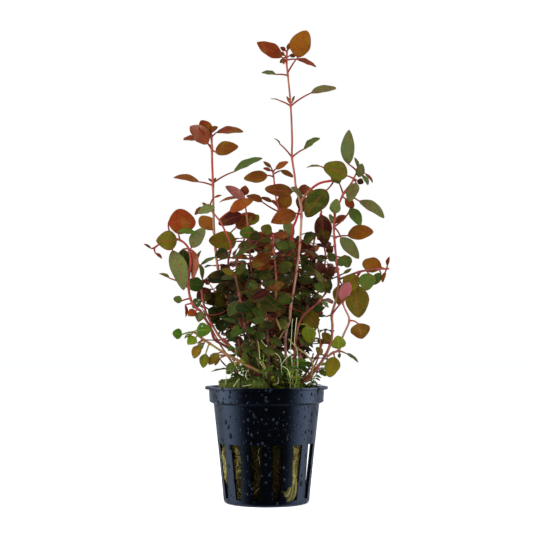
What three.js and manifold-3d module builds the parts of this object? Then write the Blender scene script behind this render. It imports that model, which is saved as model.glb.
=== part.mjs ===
// A red-leaved aquarium stem plant in a black slotted net pot, with its wad of mineral wool.
// Millimetres, +Z up, origin at the centre of the pot's flat base, front of the plant towards -Y.
import * as THREE from "three";
import { mergeVertices } from "three/addons/utils/BufferGeometryUtils.js";
import Module from "manifold-3d";

const wasm = await Module();
wasm.setup();

// Pot
const RIM_RADIUS = 28;
const RIM_TOP = 52.3;
const RIM_THICKNESS = 1.2;
const COLLAR_RADIUS = 26.2;
const COLLAR_BOTTOM = 45.5;
const WALL_TOP_RADIUS = 24;
const WALL_BOTTOM_RADIUS = 19.4;
const BASE_CORNER = 1.5;
const WALL = 1;
const FLOOR = 1.2;
const POT_SIDES = 28;
const SLOTS = 14;
const SLOT_BOTTOM = 2.7;
const SLOT_TOP = 27.1;
const SLOT_WIDTH_BOTTOM = 3.2;
const SLOT_WIDTH_TOP = 5.5;
const DRAIN_HOLES = 6;
const DRAIN_RADIUS = 2;
const DRAIN_CIRCLE = 12;

// Wool plug
const GAP = 0.3;
const WOOL_BOTTOM = FLOOR + GAP;
const WOOL_TOP = 49;
const WOOL_SIDES = 18;

// Plant
const EYE_DISTANCE = 571;
const EYE_HEIGHT = 73.3;
const STEM_SIDES = 4;
const STEM_STEP = 11;
const PETIOLE_RADIUS = 0.35;
const BLADE_HALF_THICKNESS = 0.25;
const BLADE_FOLD = 0.16;
const BLADE_BEND = 0.07;
const LEAST_STALK = 0.3;

// Leaf tints, with the front face's colour
const TINTS = {
  r: 0x8a3b26,
  b: 0x57301f,
  k: 0x45222a,
  o: 0x6f6030,
  g: 0x4f7a35,
  d: 0x2f4f2a,
  y: 0x93a13c,
  p: 0xa35f5a,
};

// Stems: name, radius at the foot and at the tip, the path from foot to tip, and the leaves.
// A path point is [x, z, depth]: x and z as seen from the front against the upright plane through
// the pot's axis, and how far the point lies behind that plane.
// A leaf row is [size, stalk x, z, blade base x, z, blade tip x, z, width, depth of the tip behind the
// stalk's foot, face, tint, via x, z]. Size L is a node of its own and s is fused to its stem. Face is
// the turn of the upper side in degrees: 0 towards the front, 90 upwards, 180 to the back.
// pairs adds opposite leaf pairs in turn: [from, to, count, length], from and to as shares of the path.
const STEMS = [
  {
    name: "tallest",
    radius: [0.8, 0.45],
    path: [[7.5, 46, -3], [8.8, 62, -6], [8.8, 76, -9], [10.6, 83, -9.5], [11, 88, -9.5], [12.5, 97, -9],
      [14.2, 108, -8], [15.5, 120, -7], [16, 130, -6], [15.8, 135, -5], [13.6, 142.5, -3.5],
      [12.9, 149, -2.5], [11.7, 157.5, -1.5], [11.8, 165, -1], [11.1, 182, 0], [9.8, 196, 0.5],
      [9.3, 201, 0.5], [9.5, 207.2, 0.5]],
    leaves: [
      ["L", 9.8, 196, 14.4, 203.6, 18.5, 216.3, 10.3, -2, 15, "o"],
      ["L", 9.2, 201.5, 7, 203.8, -4.5, 210.7, 7.4, -3, 28, "r"],
      ["s", 9.5, 202.6, 14, 202.5, 23, 199.2, 3.6, 5, 70, "r"],
      ["s", 9.5, 206, 8.6, 207, 6.3, 208.4, 1.8, -1, 20, "r"],
      ["s", 9.5, 206.4, 10, 207.8, 10.8, 210.8, 1.7, 1, 20, "r"],
      ["s", 9.8, 195, 4.5, 195.7, -2.4, 196.5, 4, -3, 60, "g"],
      ["L", 11.1, 181.5, 20.5, 187, 32.2, 189.3, 5.6, -2, 55, "g"],
      ["s", 11.1, 181.5, 6, 183.5, 1.7, 184.3, 2.6, 4, 78, "g"],
      ["s", 11.5, 157.5, 6, 163.5, 3.4, 166.1, 2.2, 4, 70, "g"],
      ["s", 12, 157, 17.2, 161, 24.7, 166, 4.8, -3, 52, "g"],
      ["L", 13.6, 142.3, 12, 141.3, -0.8, 142.5, 6.5, -4, 20, "b"],
      ["s", 13.8, 142, 15.4, 142.1, 21.2, 142.6, 4, 9, 60, "b"],
      ["L", 15.9, 131, 13.5, 131.3, 2, 127, 7.5, -5, 12, "b"],
      ["s", 15.9, 130, 16.8, 132.6, 17.6, 139.2, 4.6, 13, 20, "k"],
      ["L", 11, 88, 16.5, 86, 23.4, 79, 8.2, -4, 15, "o"],
      ["s", 15.2, 117, 17, 118.5, 22.5, 121, 6, -5, 30, "d"],
      ["s", 15.2, 117, 13, 117.5, 6.5, 114.5, 6, -5, 25, "d"],
      ["s", 13.6, 104, 16, 105, 22, 103.5, 6, -6, 20, "d"],
      ["s", 13.6, 104, 11.5, 103, 5.5, 99.5, 6, -6, 20, "d"],
    ],
  },
  {
    name: "left_tall",
    radius: [0.75, 0.45],
    path: [[-4, 46, 4], [-6, 62, 7], [-10, 75, 11], [-18, 92, 15], [-22, 105, 17], [-23.4, 115, 18],
      [-24.1, 125, 18], [-24.4, 135, 18], [-24.6, 145, 17], [-25, 155, 16], [-25.3, 166, 15],
      [-26, 171, 15]],
    leaves: [
      ["L", -25.2, 160.3, -28, 163.8, -36, 170.8, 7, -3, 150, "p"],
      ["s", -25.3, 166, -26, 169.3, -29.3, 174.5, 5.6, -2, 12, "r"],
      ["s", -25.2, 162, -30, 165.8, -38.3, 165.3, 4.6, 5, 128, "p"],
      ["L", -25.2, 166, -23, 168.7, -10.6, 169, 6, -3, 54, "r"],
      ["L", -25.1, 160, -23, 160.3, -13, 161.6, 6.5, -5, 20, "o"],
      ["L", -24.4, 144.7, -15, 150.5, -1.8, 156.8, 6, -4, 54, "g"],
      ["L", -24.8, 144.5, -31, 145.8, -42.8, 147.7, 6, -4, 58, "o"],
      ["L", -23.2, 115, -14, 124.8, -5, 130.8, 8, -6, 22, "k", -17.5, 121.5],
      ["L", -24, 120, -24.6, 123.6, -30.2, 130, 7.6, 6, 20, "r"],
      ["s", -18, 92, -19.4, 92.7, -26, 90.8, 7, -6, 25, "g"],
    ],
  },
  {
    name: "left_curved",
    radius: [0.7, 0.5],
    path: [[-4, 46, -7], [-9, 62, -8], [-14, 68.3, -7], [-20, 73.2, -6], [-25, 80.5, -5], [-28.3, 88, -4],
      [-29.5, 95, -4], [-30, 99, -4]],
    leaves: [
      ["s", -30, 98, -30.8, 98.7, -37.2, 99.6, 6, -3, 20, "d"],
      ["L", -30, 98.5, -27.5, 101.3, -15, 101, 7, -3, 28, "d"],
      ["s", -29.8, 98, -21.5, 101.2, -13.5, 103.3, 4.4, 6, 58, "g", -26.5, 104.3],
      ["s", -29, 92, -29.8, 91.5, -33.8, 88, 4.6, 5, 20, "d"],
    ],
  },
  {
    name: "left_arch",
    radius: [0.75, 0.5],
    path: [[-0.5, 46, -11], [-5, 59, -13], [-13.5, 67, -14.5], [-20, 71.3, -15.5], [-23.7, 73.5, -16],
      [-25.5, 79, -16], [-28, 83, -16.5], [-30, 86.5, -17], [-33, 88.6, -17], [-35.2, 94, -16],
      [-35.5, 102, -15], [-34.7, 108, -15], [-34.9, 112, -14], [-36.5, 116.5, -13], [-40.5, 119.3, -12],
      [-45.5, 119, -11], [-50, 116.5, -10], [-51.6, 115.2, -10]],
    leaves: [
      ["L", -42.5, 119.5, -44.8, 126, -32.4, 126.2, 9, 2, 12, "r", -45.4, 122.5],
      ["s", -40, 119.1, -40.6, 123, -32.3, 122.2, 3.6, -6, 40, "y"],
      ["L", -41.5, 119.3, -41, 119.3, -50.6, 118.6, 9, -5, 5, "g"],
      ["s", -51.5, 115.2, -52.8, 115.1, -56.3, 117.2, 2, -2, 55, "r"],
      ["s", -51.5, 115.2, -50.9, 113, -47.9, 110.4, 2.6, -2, 55, "r"],
      ["L", -44, 119.2, -43, 114, -37.8, 96, 8, -7, 14, "g", -44, 116.6],
      ["s", -35.5, 114.6, -36.6, 114.6, -42.6, 108.6, 6, 4, 20, "k"],
      ["L", -35.2, 114.4, -34.4, 115.6, -28.3, 124.5, 6.5, -3, 20, "g"],
      ["s", -35.1, 113.6, -34.3, 112.8, -33.2, 101.2, 5.4, -4, 122, "p"],
      ["s", -35.4, 97, -44.5, 101.6, -49.4, 103.6, 2.6, 11, 55, "r"],
      ["s", -34.8, 91.6, -38.6, 91.2, -42.6, 92.3, 3.4, -2, 10, "g"],
      ["s", -34.9, 106, -30, 107.6, -22.5, 111.2, 3.6, 4, 62, "g"],
      ["s", -34.8, 108.5, -31, 108, -29.3, 100.7, 3.8, 2, 55, "g"],
      ["s", -34.8, 107.5, -32, 109, -30, 114.3, 3.4, 4, 62, "y"],
    ],
  },
  {
    name: "low_left",
    radius: [0.7, 0.5],
    path: [[4, 46, -14], [2, 56, -16.5], [-5, 59.8, -18.5], [-10, 62.4, -19.5], [-18, 66.7, -20.5],
      [-26, 71.8, -21], [-29.8, 74.3, -21], [-33, 77, -21]],
    leaves: [
      ["s", -33, 77, -32, 77.7, -25.2, 77.8, 6.6, -4, 10, "g"],
      ["s", -33, 77, -38.5, 75.8, -42.9, 76.5, 4.8, -2, 10, "g"],
      ["s", -31.5, 75.5, -32.3, 74.5, -36, 71.3, 4.6, -4, 10, "y"],
      ["s", -29, 73.6, -31.2, 70.8, -33, 64.8, 4.5, -3, 15, "o"],
      ["s", -25.6, 71.5, -27.7, 67, -28.8, 60.5, 4.5, -3, 12, "y"],
      ["s", -20, 68, -22, 67.3, -26.4, 62, 4.4, -3, 15, "o"],
    ],
  },
  {
    name: "inner_left",
    radius: [0.7, 0.45],
    path: [[-1.5, 46, -15.5], [-3.5, 62, -16], [-6.5, 72, -17.5], [-10, 79, -18], [-10.5, 84, -18.5], [-12, 92, -19],
      [-14.3, 102.5, -19]],
    leaves: [
      ["s", -10, 81, -7, 82.4, 1, 83.5, 5.6, -5, 15, "g"],
      ["s", -10, 80.4, -11, 79.6, -16, 74.8, 5, -3, 15, "g"],
      ["s", -10, 81, -13, 80.4, -20, 83, 4, 3, 58, "g"],
      ["L", -12.5, 94, -9.5, 95.6, 4, 90, 7.5, -3, 18, "d"],
      ["s", -11.8, 91, -13, 90.4, -17.4, 84, 5, 3, 20, "g"],
      ["s", -14.2, 102, -13.8, 103.4, -9.4, 108.2, 3.8, -2, 20, "g"],
      ["s", -6.5, 72, -5, 72.2, -0.5, 68.5, 3.4, -3, 25, "y"],
    ],
  },
  {
    name: "centre_left",
    radius: [0.7, 0.45],
    path: [[-1, 46, -1], [-4, 65, -1], [-8, 80, -2], [-13, 95, -3], [-17.5, 108, -4], [-16.3, 116.3, -5],
      [-18.5, 122, -5], [-21.4, 127.8, -5], [-24, 131, -5], [-26, 134, -5]],
    leaves: [
      ["L", -21.3, 127.8, -16.8, 132.2, -6, 137.5, 6.5, -4, 38, "r"],
      ["s", -24.5, 131.8, -24, 134.4, -31.3, 131.2, 5, -3, 32, "o"],
      ["s", -26, 134, -28.8, 134, -33, 130.6, 3, 2, 35, "r"],
      ["s", -26, 134, -24, 138.6, -20.4, 139.6, 1.8, 1, 50, "r", -25.6, 137.4],
      ["s", -16.6, 113, -17.6, 113.4, -23.5, 111.5, 6, -4, 20, "d"],
      ["s", -13, 95, -14.5, 96, -20.6, 95, 6, -3, 25, "d"],
    ],
  },
  {
    name: "centre",
    radius: [0.7, 0.4],
    path: [[2, 46, 3], [0, 65, 4], [-3, 85, 6], [-6, 100, 8], [-7.5, 111, 9], [-7.7, 118, 9],
      [-8.6, 126, 9], [-9.3, 132, 9], [-9.8, 135, 9], [-11, 138.6, 9]],
    leaves: [
      ["L", -7.7, 118, -14, 118.4, -26.5, 118.7, 9.3, -10, 12, "o"],
      ["L", -9, 130.5, -11, 130.7, -22, 126.3, 6.5, 4, 18, "b"],
      ["s", -10.7, 138, -11.6, 139.2, -18.9, 142.6, 4.6, -3, 122, "p"],
      ["s", -11, 138.3, -10.4, 139.6, -9.6, 144.2, 4.5, -1, 10, "r"],
      ["s", -11, 138.4, -12.2, 138.5, -21.8, 136.3, 3.4, 3, 64, "b"],
      ["s", -8.6, 125.5, -7.4, 126, -3.6, 130.6, 4.6, 5, 15, "o"],
      ["s", -7.5, 110.8, -8.6, 110.6, -16.2, 111, 4.4, 3, 58, "r"],
      ["s", -6.2, 101, -5.4, 101.8, -2.2, 106.3, 3.6, -4, 15, "g"],
    ],
  },
  {
    name: "middle",
    radius: [0.7, 0.4],
    path: [[5, 46, 7], [6, 65, 10], [8, 85, 13], [10, 100, 15], [11.5, 112, 16], [11.5, 119, 16],
      [10, 121.5, 16], [8.5, 127, 16], [5.8, 132.4, 16], [4.4, 138, 16], [3.7, 144.5, 16], [3, 150.5, 16]],
    leaves: [
      ["s", 3, 150, 2, 151, -1.6, 152.2, 1.9, -2, 20, "r"],
      ["s", 3, 149.7, 2.2, 152.4, -1.5, 155.3, 2, 1, 20, "r"],
      ["s", 3, 150.4, 4.2, 151.8, 10.2, 155.1, 4, -2, 42, "r"],
      ["s", 3.1, 148.9, 6.5, 151, 12.3, 147.9, 3.2, 2, 35, "b"],
      ["L", 3.2, 148.3, 0.5, 148.8, -10.5, 147.3, 6, -3, 14, "r"],
      ["s", 5.8, 132.4, -2, 136.6, -9.2, 139.4, 4.6, 4, 38, "b", 2.5, 133.2],
      ["s", 5.8, 132.4, 6.4, 135.2, 11.8, 139.6, 6.2, 3, 10, "o"],
      ["s", 8.8, 126.4, 9.4, 126.2, 11.6, 120.4, 4.6, -3, 128, "p"],
    ],
    pairs: [0.36, 0.52, 2, 8],
  },
  {
    name: "middle_short",
    radius: [0.7, 0.45],
    path: [[6, 46, -9], [4, 65, -13], [3.5, 80, -14.5], [4.4, 95, -14.5], [4.2, 105, -14], [3.3, 113, -13.5],
      [3, 121.5, -13]],
    leaves: [
      ["s", 3.3, 113, 1.8, 112.4, -6.6, 106.4, 6.2, -4, 15, "b"],
      ["s", 3.2, 116, -3.5, 116.5, -15.4, 110.2, 4.6, -3, 60, "d"],
      ["s", 3, 119, 2, 119.2, -2.8, 119.9, 3.6, -3, 10, "g"],
      ["s", 3, 121, -5, 122, -12.3, 122.5, 6, 3, 10, "g"],
      ["s", 3, 121.4, 2.4, 122.6, -2.6, 124.8, 5.2, -2, 15, "d"],
      ["s", 3.1, 117, 4.6, 117.2, 10, 115, 4.6, -4, 20, "g"],
      ["s", 4.3, 104, 5.6, 104.6, 12, 108, 5.4, -3, 20, "g"],
      ["s", 4.3, 104, 3, 104, -3.5, 101, 5.4, -3, 20, "d"],
      ["s", 4.2, 92, 5.4, 92.6, 12, 90.6, 6, -4, 20, "d"],
      ["s", 3.6, 82, 4.8, 82, 9.6, 78, 4.6, -4, 20, "g"],
    ],
  },
  {
    name: "red_arch",
    radius: [0.75, 0.6],
    path: [[10, 46, 10], [13, 65, 10], [14.5, 85, 9], [15, 100, 6], [12.4, 112, -1], [11.8, 123.5, -1.6],
      [13.5, 128, -1.4], [14.8, 132, -1.2], [15.8, 136.5, 0], [19, 141, -1], [24, 145, -3], [31, 146.6, -6]],
    leaves: [
      ["L", 31, 146.6, 28.6, 141.8, 19.3, 129.2, 10, -7, 5, "g", 30.6, 144.4],
      ["s", 31, 146.6, 25, 153, 18.2, 152.2, 3, 4, 70, "o", 28.6, 152],
    ],
  },
  {
    name: "right_tall",
    radius: [0.8, 0.45],
    path: [[13, 46, -5], [14.5, 52.5, -5], [18.5, 55.5, -5], [22.5, 60, -5], [27, 66.5, -4], [29.5, 73, -3],
      [30.1, 80, -2], [29.8, 84.5, -2], [31.8, 92, -2], [33, 100.8, -3], [32.2, 108, -5], [31.3, 117, -7],
      [30.9, 124.6, -8], [31.5, 131, -9], [33.8, 137, -10], [35.5, 140.6, -11], [39.5, 146, -12],
      [41.2, 149.5, -12], [43, 151, -12]],
    leaves: [
      ["L", 41.5, 150, 37.7, 154, 38, 170, 6.5, -3, 15, "g"],
      ["L", 40.3, 147, 37, 148.6, 26.3, 153.2, 8.5, -4, 14, "b"],
      ["s", 42, 150.5, 41.9, 152.4, 40.5, 157.2, 2.4, 2, 45, "g"],
      ["s", 42.4, 150.5, 43, 150.9, 44.2, 154.5, 3.4, -1, 15, "b"],
      ["s", 43, 151, 44.2, 149, 46.6, 144.2, 3, -2, 42, "g"],
      ["s", 43, 151, 45.2, 149.7, 48.8, 145.2, 2.4, 2, 55, "b"],
      ["s", 40.3, 146.8, 41.2, 145.2, 38, 136.7, 5.8, -5, 15, "g"],
      ["L", 36, 141, 42.5, 137, 54, 129.1, 6, -2, 38, "g", 39.5, 138.9],
      ["s", 34.6, 138.8, 36.2, 138, 40.1, 133.9, 4.2, 2, 15, "r"],
      ["s", 35.5, 140.6, 33.5, 145, 30, 150, 5, 5, 20, "d"],
      ["s", 31, 124.8, 38.4, 133.6, 43.1, 125.7, 5.4, -3, 15, "g", 37.6, 129.6],
      ["L", 30.9, 120.3, 37.6, 121.3, 49, 122.8, 6.4, 4, 22, "r"],
      ["s", 31, 126, 31.8, 126.8, 36.4, 130.4, 4.4, 3, 38, "r"],
      ["s", 31.4, 130, 30.9, 131.4, 32.4, 138, 5.2, -5, 10, "d"],
      ["s", 31.2, 129, 29, 130.8, 30, 126.4, 3, -3, 42, "g"],
      ["L", 31, 124.4, 35.5, 119.8, 42.4, 110.2, 6, -4, 32, "g", 34.2, 123.2],
      ["s", 32, 108, 32.8, 107.6, 37, 110.6, 4, -3, 10, "g"],
      ["s", 31.8, 109.4, 36, 112, 37.4, 106.4, 5, 3, 15, "g"],
      ["s", 31.4, 116, 30.4, 116, 27.4, 113.4, 3.8, 3, 10, "b"],
      ["L", 29.8, 84.5, 34.3, 90.4, 37, 99.9, 6, -12, 155, "p"],
      ["s", 33, 100.6, 33.6, 98.6, 33.2, 89.4, 5, 4, 28, "d"],
      ["s", 29.4, 72.8, 28.6, 72.4, 25.4, 76.6, 4.5, -2, 15, "o"],
      ["s", 26.5, 66, 25.2, 66.6, 22.6, 70, 3.4, -2, 15, "o"],
      ["s", 22.5, 60, 24, 59.8, 27.3, 56.8, 2.8, -2, 20, "g"],
    ],
  },
  {
    name: "right_side",
    radius: [0.6, 0.4],
    path: [[35.3, 101.8, -3.5], [37, 102.5, -4], [42, 104.3, -5], [46, 105.2, -5.5], [50, 105.7, -6], [54, 105.8, -6],
      [56.2, 105.9, -6]],
    leaves: [
      ["L", 46, 105.2, 46.7, 103.8, 45.5, 95.8, 7.8, -4, 8, "g"],
      ["s", 50, 105.7, 49.6, 104.4, 52.6, 100.6, 4.6, 2, 12, "g"],
      ["s", 54, 105.8, 52, 106.6, 44.1, 109, 6, 4, 20, "g"],
      ["s", 55, 105.9, 55.3, 107.2, 56.4, 111.4, 2.2, -1, 40, "r"],
      ["s", 54.6, 105.8, 54.4, 104.4, 53.2, 99.5, 3, -2, 48, "b"],
      ["L", 42, 104.3, 41.7, 102.8, 36, 94.8, 8, -1, 12, "o"],
      ["L", 42.6, 104.4, 42.3, 98.4, 42.8, 83.4, 10, 4, 8, "o"],
    ],
  },
  {
    name: "right_low",
    radius: [0.6, 0.45],
    path: [[27.6, 65.6, -7], [30, 67.4, -8], [33, 68.7, -9], [33.8, 72.5, -9], [35.5, 76.5, -9], [37.8, 82.5, -9],
      [35.8, 87.5, -9], [34.8, 90, -9]],
    leaves: [
      ["L", 37.8, 82.5, 41.8, 80.6, 44, 73.6, 8.3, -3, 8, "o", 39.6, 82.6],
      ["s", 33.2, 69, 32.7, 69.4, 32.5, 75.3, 6.8, -5, 10, "y"],
      ["L", 30.5, 67.8, 31, 65.6, 28.5, 56.3, 7.2, -4, 10, "o"],
      ["s", 33, 68.6, 36, 67.3, 41.9, 63, 3, -1, 60, "g"],
      ["s", 34.8, 90, 33.6, 91, 28, 92.6, 4.4, -3, 25, "d"],
    ],
  },
  {
    name: "inner_right",
    radius: [0.65, 0.45],
    path: [[9.5, 46, -9], [12, 60, -13], [13.5, 75, -14.5], [14.6, 80, -14.5], [17, 84.6, -14], [21.5, 88.5, -12],
      [24.5, 91.5, -10], [27, 94.6, -8]],
    leaves: [
      ["s", 14.6, 80, 18.6, 79.6, 19.8, 71.8, 6.6, -5, 10, "y", 17.8, 81.2],
      ["s", 20.5, 87.7, 21.5, 87.1, 26.6, 88, 4, -4, 15, "d"],
      ["s", 12.9, 71, 15, 69.8, 21, 68, 3, 3, 55, "d"],
      ["s", 27, 94.6, 26.4, 95.6, 21.4, 98.6, 4.6, -3, 20, "g"],
      ["s", 27, 94.6, 27.9, 95.6, 29.2, 101.4, 4.6, -3, 25, "d"],
    ],
  },
  {
    name: "inner_tall",
    radius: [0.7, 0.45],
    path: [[12.5, 46, 4], [14.5, 62, 5], [17, 78, 6], [19, 92, 7], [19.5, 104, 8], [21, 114, 8],
      [23, 124, 8], [25.2, 132, 8]],
    leaves: [
      ["L", 25, 131.4, 25.5, 130.4, 26.7, 116.3, 8.4, -4, 10, "k"],
      ["s", 19, 92, 20, 91.4, 21, 86.6, 3.6, -3, 15, "d"],
      ["s", 25.2, 132, 24.8, 133, 22.4, 136, 3, 3, 20, "b"],
    ],
    pairs: [0.4, 0.6, 2, 8],
  },
  {
    name: "front",
    radius: [0.65, 0.45],
    path: [[1, 46, -18.5], [1, 62, -22], [0.5, 75, -25], [0, 84, -27], [-2, 92, -28.5], [-3, 98, -29]],
    leaves: [
      ["s", -3, 98, -2.2, 99, 4, 99.6, 5, -3, 25, "g"],
      ["s", -3, 98, -3.8, 98.6, -9.5, 97.4, 5, -3, 25, "d"],
      ["s", 0, 84, 1.2, 84.6, 8, 86.4, 5, -3, 25, "g"],
      ["s", 0, 84, -1, 84, -6.5, 87.4, 5, -3, 25, "d"],
      ["s", 0.6, 74, 1.8, 74, 7, 70.6, 4.4, -3, 20, "g"],
      ["s", 0.6, 74, -0.4, 74, -5, 77, 4, -3, 20, "g"],
    ],
  },
  {
    name: "back_low_left",
    radius: [0.65, 0.45],
    path: [[-9, 46, 8], [-14, 60, 15], [-21, 71, 22], [-26, 80, 28]],
    leaves: [],
    pairs: [0.4, 1, 3, 8],
  },
  {
    name: "back_left",
    radius: [0.7, 0.45],
    path: [[-5, 46, 11], [-8, 65, 18], [-12, 85, 26], [-14, 100, 31], [-13, 112, 34], [-10, 120, 35]],
    leaves: [],
    pairs: [0.45, 1, 4, 9],
  },
  {
    name: "back_middle",
    radius: [0.7, 0.45],
    path: [[1.5, 46, 13], [2, 65, 20], [3, 85, 29], [5, 100, 34], [4, 112, 37], [1, 122, 38]],
    leaves: [],
    pairs: [0.45, 1, 4, 9],
  },
  {
    name: "back_right",
    radius: [0.7, 0.45],
    path: [[8, 46, 14], [13, 65, 19], [20, 85, 26], [25, 100, 31], [27, 112, 33], [25, 121, 35]],
    leaves: [],
    pairs: [0.45, 1, 4, 9],
  },
  {
    name: "back_low_right",
    radius: [0.65, 0.45],
    path: [[14, 46, 9], [18, 58, 14], [24, 68, 20], [27, 78, 24]],
    leaves: [],
    pairs: [0.45, 1, 3, 8],
  },
];

// A point noted as seen from the front, moved back along the line of sight by its depth.
function seen(x, z, depth) {
  const scale = (EYE_DISTANCE + depth) / EYE_DISTANCE;
  return new THREE.Vector3(x * scale, depth, EYE_HEIGHT + (z - EYE_HEIGHT) * scale);
}

// Closed surface through rings of equally many points; a ring of one point closes to a tip.
function skin(rings) {
  const points = rings.flat();
  const triangles = [];
  let start = 0;
  rings.slice(1).forEach((next, i) => {
    const a = rings[i].length;
    const b = next.length;
    const count = Math.max(a, b);
    for (let k = 0; k < count; k++) {
      const after = (k + 1) % count;
      if (a > 1) triangles.push(start + k, start + after, start + a + (k % b));
      if (b > 1) triangles.push(start + (after % a), start + a + after, start + a + k);
    }
    start += a;
  });
  const first = rings[0].length;
  for (let k = 1; k + 1 < first; k++) triangles.push(0, k + 1, k);
  const last = rings.at(-1).length;
  for (let k = 1; k + 1 < last; k++) triangles.push(start, start + k, start + k + 1);
  let volume = 0;
  for (let i = 0; i < triangles.length; i += 3) {
    const [p, q, r] = [0, 1, 2].map((k) => points[triangles[i + k]]);
    volume += p.dot(new THREE.Vector3().crossVectors(q, r));
  }
  if (volume < 0) triangles.reverse();
  const geometry = new THREE.BufferGeometry().setFromPoints(points);
  geometry.setIndex(triangles);
  return geometry;
}

// A closed geometry as a solid that can be cut and joined.
function solid(geometry) {
  const bare = geometry.clone();
  bare.deleteAttribute("normal");
  bare.deleteAttribute("uv");
  const merged = mergeVertices(bare, 1e-4);
  return new wasm.Manifold(
    new wasm.Mesh({
      numProp: 3,
      vertProperties: new Float32Array(merged.attributes.position.array),
      triVerts: new Uint32Array(merged.index.array),
    }),
  );
}

// A named mesh from a solid, with its colour and roughness.
function mesh(name, body, color, roughness) {
  const { vertProperties, triVerts } = body.getMesh();
  const geometry = new THREE.BufferGeometry();
  geometry.setAttribute("position", new THREE.BufferAttribute(vertProperties, 3));
  geometry.setIndex(new THREE.BufferAttribute(triVerts, 1));
  geometry.computeVertexNormals();
  const material = new THREE.MeshStandardMaterial({ color, roughness, metalness: 0, flatShading: true });
  const made = new THREE.Mesh(geometry, material);
  made.name = name;
  return made;
}

const plant = new THREE.Group();

// The pot: wall, collar and rim turned in one profile, then the slots and the drain holes cut.
function pot() {
  const innerCollar = COLLAR_RADIUS - WALL;
  const profile = [
    [0, 0],
    [WALL_BOTTOM_RADIUS - BASE_CORNER, 0],
    [WALL_BOTTOM_RADIUS, BASE_CORNER],
    [WALL_TOP_RADIUS, COLLAR_BOTTOM - WALL],
    [COLLAR_RADIUS - 0.3, COLLAR_BOTTOM],
    [COLLAR_RADIUS, RIM_TOP - RIM_THICKNESS],
    [RIM_RADIUS, RIM_TOP - RIM_THICKNESS],
    [RIM_RADIUS, RIM_TOP],
    [innerCollar, RIM_TOP],
    [innerCollar - 0.3, COLLAR_BOTTOM + WALL],
    [WALL_TOP_RADIUS - WALL, COLLAR_BOTTOM],
    [WALL_BOTTOM_RADIUS - WALL, FLOOR + BASE_CORNER / 2],
    [WALL_BOTTOM_RADIUS - WALL - BASE_CORNER / 2, FLOOR],
    [0, FLOOR],
  ].map(([r, z]) => new THREE.Vector2(r, z));
  const turned = new THREE.LatheGeometry(profile, POT_SIDES, Math.PI / POT_SIDES);
  let body = solid(turned.rotateX(Math.PI / 2));
  const slot = new THREE.Shape([
    new THREE.Vector2(-SLOT_WIDTH_BOTTOM / 2, SLOT_BOTTOM),
    new THREE.Vector2(SLOT_WIDTH_BOTTOM / 2, SLOT_BOTTOM),
    new THREE.Vector2(SLOT_WIDTH_TOP / 2, SLOT_TOP),
    new THREE.Vector2(-SLOT_WIDTH_TOP / 2, SLOT_TOP),
  ]);
  const cutterDepth = WALL_TOP_RADIUS - WALL_BOTTOM_RADIUS + 4 * WALL;
  for (let i = 0; i < SLOTS; i++) {
    const cutter = new THREE.ExtrudeGeometry(slot, { depth: cutterDepth, bevelEnabled: false })
      .rotateX(Math.PI / 2)
      .translate(0, -WALL_BOTTOM_RADIUS + 2 * WALL, 0)
      .rotateZ(((i + 0.5) * 2 * Math.PI) / SLOTS);
    body = body.subtract(solid(cutter));
  }
  for (let i = 0; i < DRAIN_HOLES; i++) {
    const hole = new THREE.CylinderGeometry(DRAIN_RADIUS, DRAIN_RADIUS, 4 * FLOOR, 8)
      .rotateX(Math.PI / 2)
      .translate(DRAIN_CIRCLE, 0, 0)
      .rotateZ(((i + 0.5) * 2 * Math.PI) / DRAIN_HOLES);
    body = body.subtract(solid(hole));
  }
  return body;
}

const smooth = THREE.MathUtils.smoothstep;

// Inner radius of the pot's wall at a height.
function wallInside(z) {
  const share = (z - BASE_CORNER) / (COLLAR_BOTTOM - WALL - BASE_CORNER);
  return THREE.MathUtils.lerp(WALL_BOTTOM_RADIUS, WALL_TOP_RADIUS, share) - WALL;
}

// The wool: a lumpy wad that leaves a gap at the lower right and lower left, with a lump standing
// above the rim at the left and a lower top at the right.
function woolTop(x, y) {
  const lump = smooth(-x, -2, 5) * smooth(12 - y, 0, 10);
  const low = smooth(x, 12, 20);
  return WOOL_TOP + 5.6 * lump - 3 * low + 0.7 * Math.sin(0.6 * x + 1) * Math.cos(0.5 * y);
}

function woolRadius(angle, z) {
  const right = smooth(Math.cos(angle), 0.55, 0.95) * smooth(z, 2, 5) * (1 - smooth(z, 25, 33));
  const left = smooth(-Math.cos(angle), 0.6, 0.95) * (1 - smooth(z, 7, 15));
  const lumps = 0.5 * Math.sin(3 * angle + 0.25 * z) + 0.4 * Math.sin(7 * angle - 0.5 * z);
  return wallInside(z) - 1.9 + lumps - 4.6 * right - 2.6 * left;
}

function wool() {
  const heights = [WOOL_BOTTOM, 5, 12, 19, 27, 36, 45];
  const inwards = [0.86, 0.55];
  const rings = heights.map((z, i) => {
    const inset = i === 0 ? 1.2 : 0;
    return Array.from({ length: WOOL_SIDES }, (_, k) => {
      const angle = (k * 2 * Math.PI) / WOOL_SIDES;
      const r = woolRadius(angle, z) - inset;
      return new THREE.Vector3(r * Math.cos(angle), r * Math.sin(angle), z);
    });
  });
  for (const share of inwards) {
    rings.push(
      rings[heights.length - 1].map((p) => {
        const x = p.x * share;
        const y = p.y * share;
        return new THREE.Vector3(x, y, woolTop(x, y));
      }),
    );
  }
  rings.push([new THREE.Vector3(0, 0, woolTop(0, 0))]);
  rings.unshift([new THREE.Vector3(0, 0, WOOL_BOTTOM)]);
  return solid(skin(rings));
}

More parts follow.
